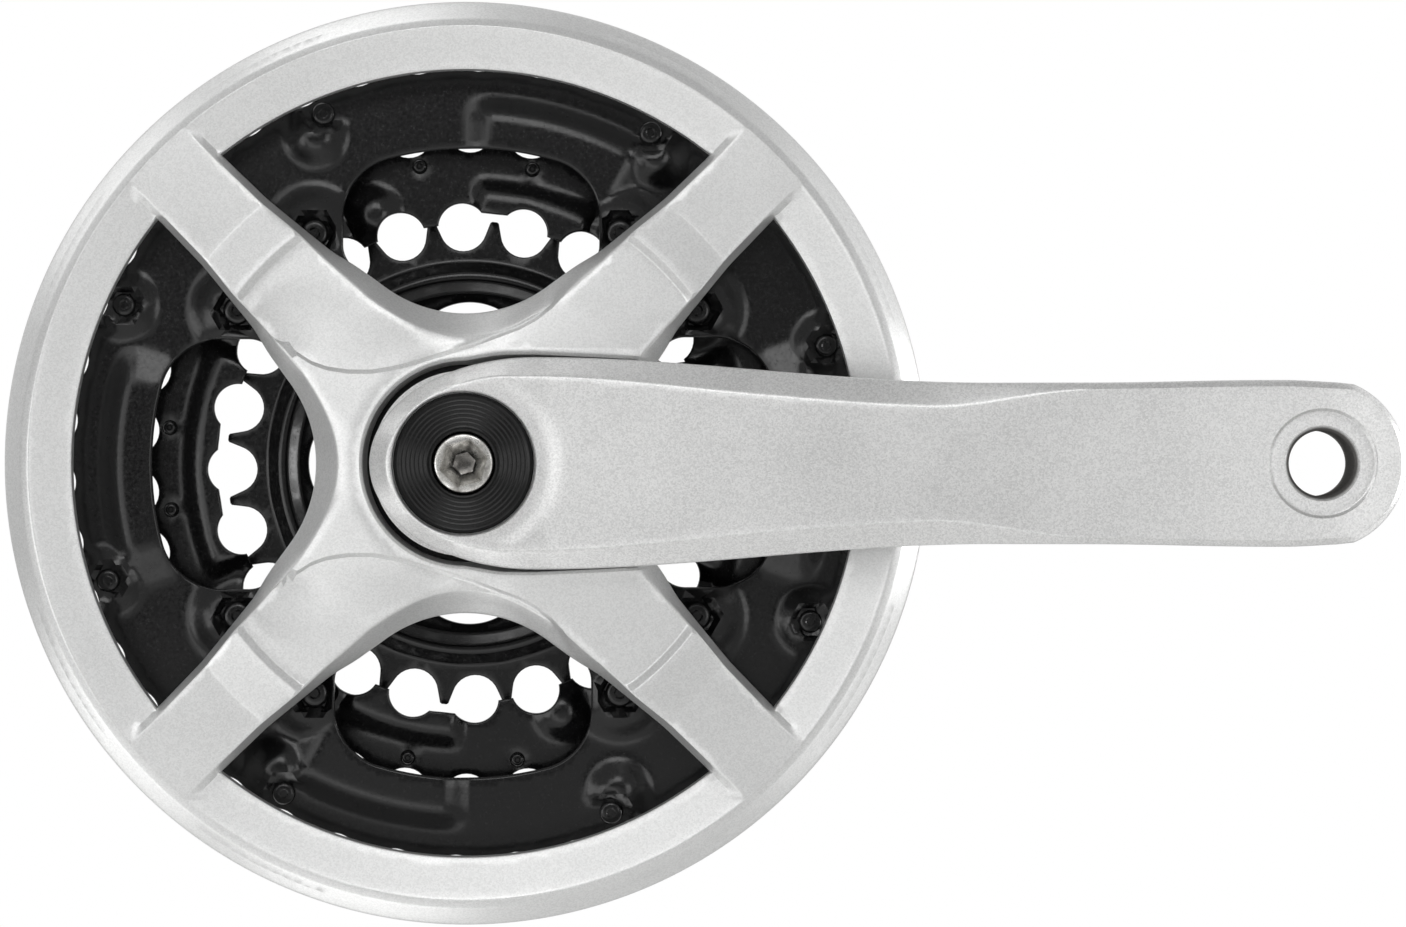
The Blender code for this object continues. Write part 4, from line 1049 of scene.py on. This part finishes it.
def arm():
    side = arm_outline(BOSS_END, lambda x: 0.0, EYE_RADIUS)
    face = arm_outline(FACE_END, bevel_width, EYE_RADIUS - EYE_EDGE)
    outer, inner = Contour(side), Contour(face)

    def share(x, z):
        gap, edge = inner.distance(x, z), outer.distance(x, z)
        if inner.holds(x, z):
            return -gap / 4.0
        return gap / max(gap + edge, 1e-6)

    def front(x, z):
        rise = math.sin(clamp((x - 16.0) / 134.0) * math.pi / 2.0)
        depth = BOSS_DEPTH + (EYE_DEPTH - BOSS_DEPTH) * rise - SWELL * pad(x, 12.0, 70.0, 14.0)
        depth = BOSS_DEPTH + (depth - BOSS_DEPTH) * smooth((math.hypot(x, z) - FLAT_RADIUS) / 3.8)
        depth += bevel_drop(x) * rounded(share(x, z), 0.10)
        depth += TIP_DROP * smooth((x - 172.0) / 15.0)
        seat = smooth((SEAT_RADIUS - math.dist((x, z), EYE)) / 0.7)
        return depth + (SEAT_DEPTH - depth) * seat

    def back(x, z):
        rise = math.sin(clamp((x - 30.0) / 120.0) * math.pi / 2.0)
        depth = BACK_DEPTH + (EYE_BACK - BACK_DEPTH) * rise
        return depth - 1.6 * rounded(share(x, z), 0.15)

    lines = rim(side, 0.45)
    for shift in (-0.35, 0.0, 0.35):
        lines.append(Line(offset(counterclockwise(face), shift)))
    lines += [Line(circle(radius, 120)) for radius in (15.2, 16.0)]
    lines += [Line(circle(radius, 72, EYE)) for radius in (10.1, 10.35, 10.6, 10.9, 11.1)]
    made = sheet("crank_arm_fine", lines, front, back, 1.3)
    points = [(0.0, -20.0), (18.7, -20.0), (18.5, -0.9), (18.0, -0.3), (17.0, -0.3), (17.0, 2.3), (18.1, 2.3)]
    points += [(18.3, 2.6), (18.2, 3.2), (16.7, 4.5), (16.4, 4.8), (16.2, 11.2), (15.6, 12.0), (0.0, 12.0)]
    carve(made, lathe("boss", points, 120), "UNION")
    points = [(0.0, -33.0), (15.0, -33.0), (14.75, -28.1), (14.4, -27.7), (14.4, -24.0), (11.0, -24.0)]
    points += [(11.0, -14.0), (4.5, -14.0), (4.5, -8.0), (0.0, -8.0)]
    carve(made, lathe("bore", points, 120))
    slope = (SOCKET_LARGE - SOCKET_SMALL) / 22.0
    small, large = SOCKET_SMALL * math.sqrt(2.0), (SOCKET_LARGE + slope * 3.0) * math.sqrt(2.0)
    square = lathe("socket", [(0.0, -10.0), (small, -10.0), (large, 15.0), (0.0, 15.0)], 4)
    square.rotation_euler = (0.0, math.radians(45.0), 0.0)
    carve(made, square)
    points = [(0.0, EYE_DEPTH - 2.0), (10.3, EYE_DEPTH - 2.0), (7.5, SEAT_DEPTH), (6.75, EYE_DEPTH + 1.5)]
    points += threads(EYE_DEPTH + 1.8, EYE_BACK - 1.6, 6.5, 6.9)
    points += [(6.5, EYE_BACK - 1.0), (7.5, EYE_BACK), (9.5, EYE_BACK + 2.0), (0.0, EYE_BACK + 2.0)]
    carve(made, lathe("pedal_hole", points, 72, EYE))
    place(made, "crank_arm", SILVER_PAINT)


# ---------------------------------------------------------------- floor, light and camera

def floor():
    """Pale studio floor with a faint grain, below the part."""
    made, tree, shader, where = surface("studio_floor", 0.8, 0.0)
    grain = noise(tree, where, 90.0)
    colours = [(0.3, (0.84, 0.84, 0.835)), (0.7, (0.90, 0.90, 0.895))]
    feed(tree, shader, {"Base Color": ramp(tree, grain, colours)})
    mesh = bpy.data.meshes.new("studio_floor")
    low, near, far, side = -0.62, -9.0, 4.2, 9.0
    corners = [(-side, near, low), (side, near, low), (side, far, low), (-side, far, low)]
    mesh.from_pydata(corners, [], [(0, 1, 2, 3)])
    mesh.materials.append(made)
    add("studio_floor", mesh)


AIM = Vector((0.02, 0.0, 0.0))  # the point that every light faces
LIGHT_LEVEL = 1.38

# Each soft light: angle off the viewing direction, direction round it, distance, width and power.
LIGHTS = {
    "front": (0.0, 0.0, 1.2, 0.4, 0.08),
    "front_right": (26.0, 0.0, 1.2, 0.4, 0.75),
    "front_high": (26.0, 90.0, 1.2, 0.4, 1.2),
    "front_high_left": (26.0, 135.0, 1.2, 0.4, 0.55),
    "front_low_left": (26.0, 225.0, 1.2, 0.4, 0.4),
    "front_low": (26.0, 270.0, 1.2, 0.4, 0.35),
    "front_left": (31.0, 180.0, 1.2, 0.4, 0.5),
    "left": (50.0, 190.0, 1.2, 0.5, 1.1),
    "side_right": (92.0, 0.0, 0.58, 0.26, 1.05),
    "side_upper_right": (92.0, 36.0, 0.58, 0.26, 0.09),
    "side_top": (92.0, 108.0, 0.58, 0.26, 0.26),
    "side_upper_left": (92.0, 144.0, 0.58, 0.26, 0.20),
    "side_lower_left": (92.0, 216.0, 0.58, 0.26, 0.26),
    "side_bottom": (92.0, 252.0, 0.58, 0.26, 0.24),
    "side_lower_right": (92.0, 324.0, 0.58, 0.26, 0.13),
}


def softbox(name, off, around, distance, width, power):
    """Square area light that faces the part from a direction given about the viewing direction."""
    out, level = polar(math.sin(math.radians(off)), around)
    towards = Vector((out, -math.cos(math.radians(off)), level))
    data = bpy.data.lights.new(name, "AREA")
    data.size = width
    data.energy = power * LIGHT_LEVEL
    lamp = add(name, data)
    lamp.location = AIM + towards * distance
    lamp.rotation_euler = (-towards).to_track_quat("-Z", "Y").to_euler()


# Glow of the surroundings by direction, from 0 in the way the camera looks to 1 back towards it.
GLOW = ((0.014, 0.06), (0.07, 0.50), (0.225, 0.54), (0.375, 0.44), (0.5, 0.42), (0.7, 0.75))


def studio():
    """White surroundings for the camera, graded ones for the light, and the soft lights."""
    world = bpy.data.worlds.new("studio")
    bpy.context.scene.world = world
    world.use_nodes = True
    tree = world.node_tree
    white = (1.0, 1.0, 1.0, 1.0)
    seen = feed(tree, tree.nodes["Background"], {"Color": white})
    direction = tree.nodes.new("ShaderNodeTexCoord").outputs["Generated"]
    parts = node(tree, "SeparateXYZ", {"Vector": direction})
    off_view = rescale(tree, parts.outputs["Y"], 0.0, 1.0, -1.0, 1.0)
    glow = ramp(tree, off_view, [(at, (level,) * 3) for at, level in GLOW])
    light = node(tree, "Background", {"Color": white, "Strength": glow})
    path = tree.nodes.new("ShaderNodeLightPath")
    shaders = {1: light.outputs["Background"], 2: seen.outputs["Background"]}
    mix = node(tree, "MixShader", {"Fac": path.outputs["Is Camera Ray"], **shaders})
    feed(tree, tree.nodes["World Output"], {"Surface": mix.outputs["Shader"]})
    for name, facts in LIGHTS.items():
        softbox(name, *facts)


def camera():
    data = bpy.data.cameras.new("view")
    data.lens, data.sensor_width = 99.04, 36.0
    data.shift_x, data.shift_y = 0.0896, -0.003
    data.clip_start, data.clip_end = 0.05, 20.0
    eye = add("view", data)
    eye.location = (0.02271, (PLATE_Y - 800.0) * MM, 0.00081)
    eye.rotation_euler = (math.radians(90.0), 0.0, 0.0)
    bpy.context.scene.camera = eye


large_ring()
middle_ring()
small_ring()
fasteners()
cap()
bolt()
guard()
arm()
floor()
studio()
camera()
bpy.context.scene.view_settings.view_transform = "Standard"
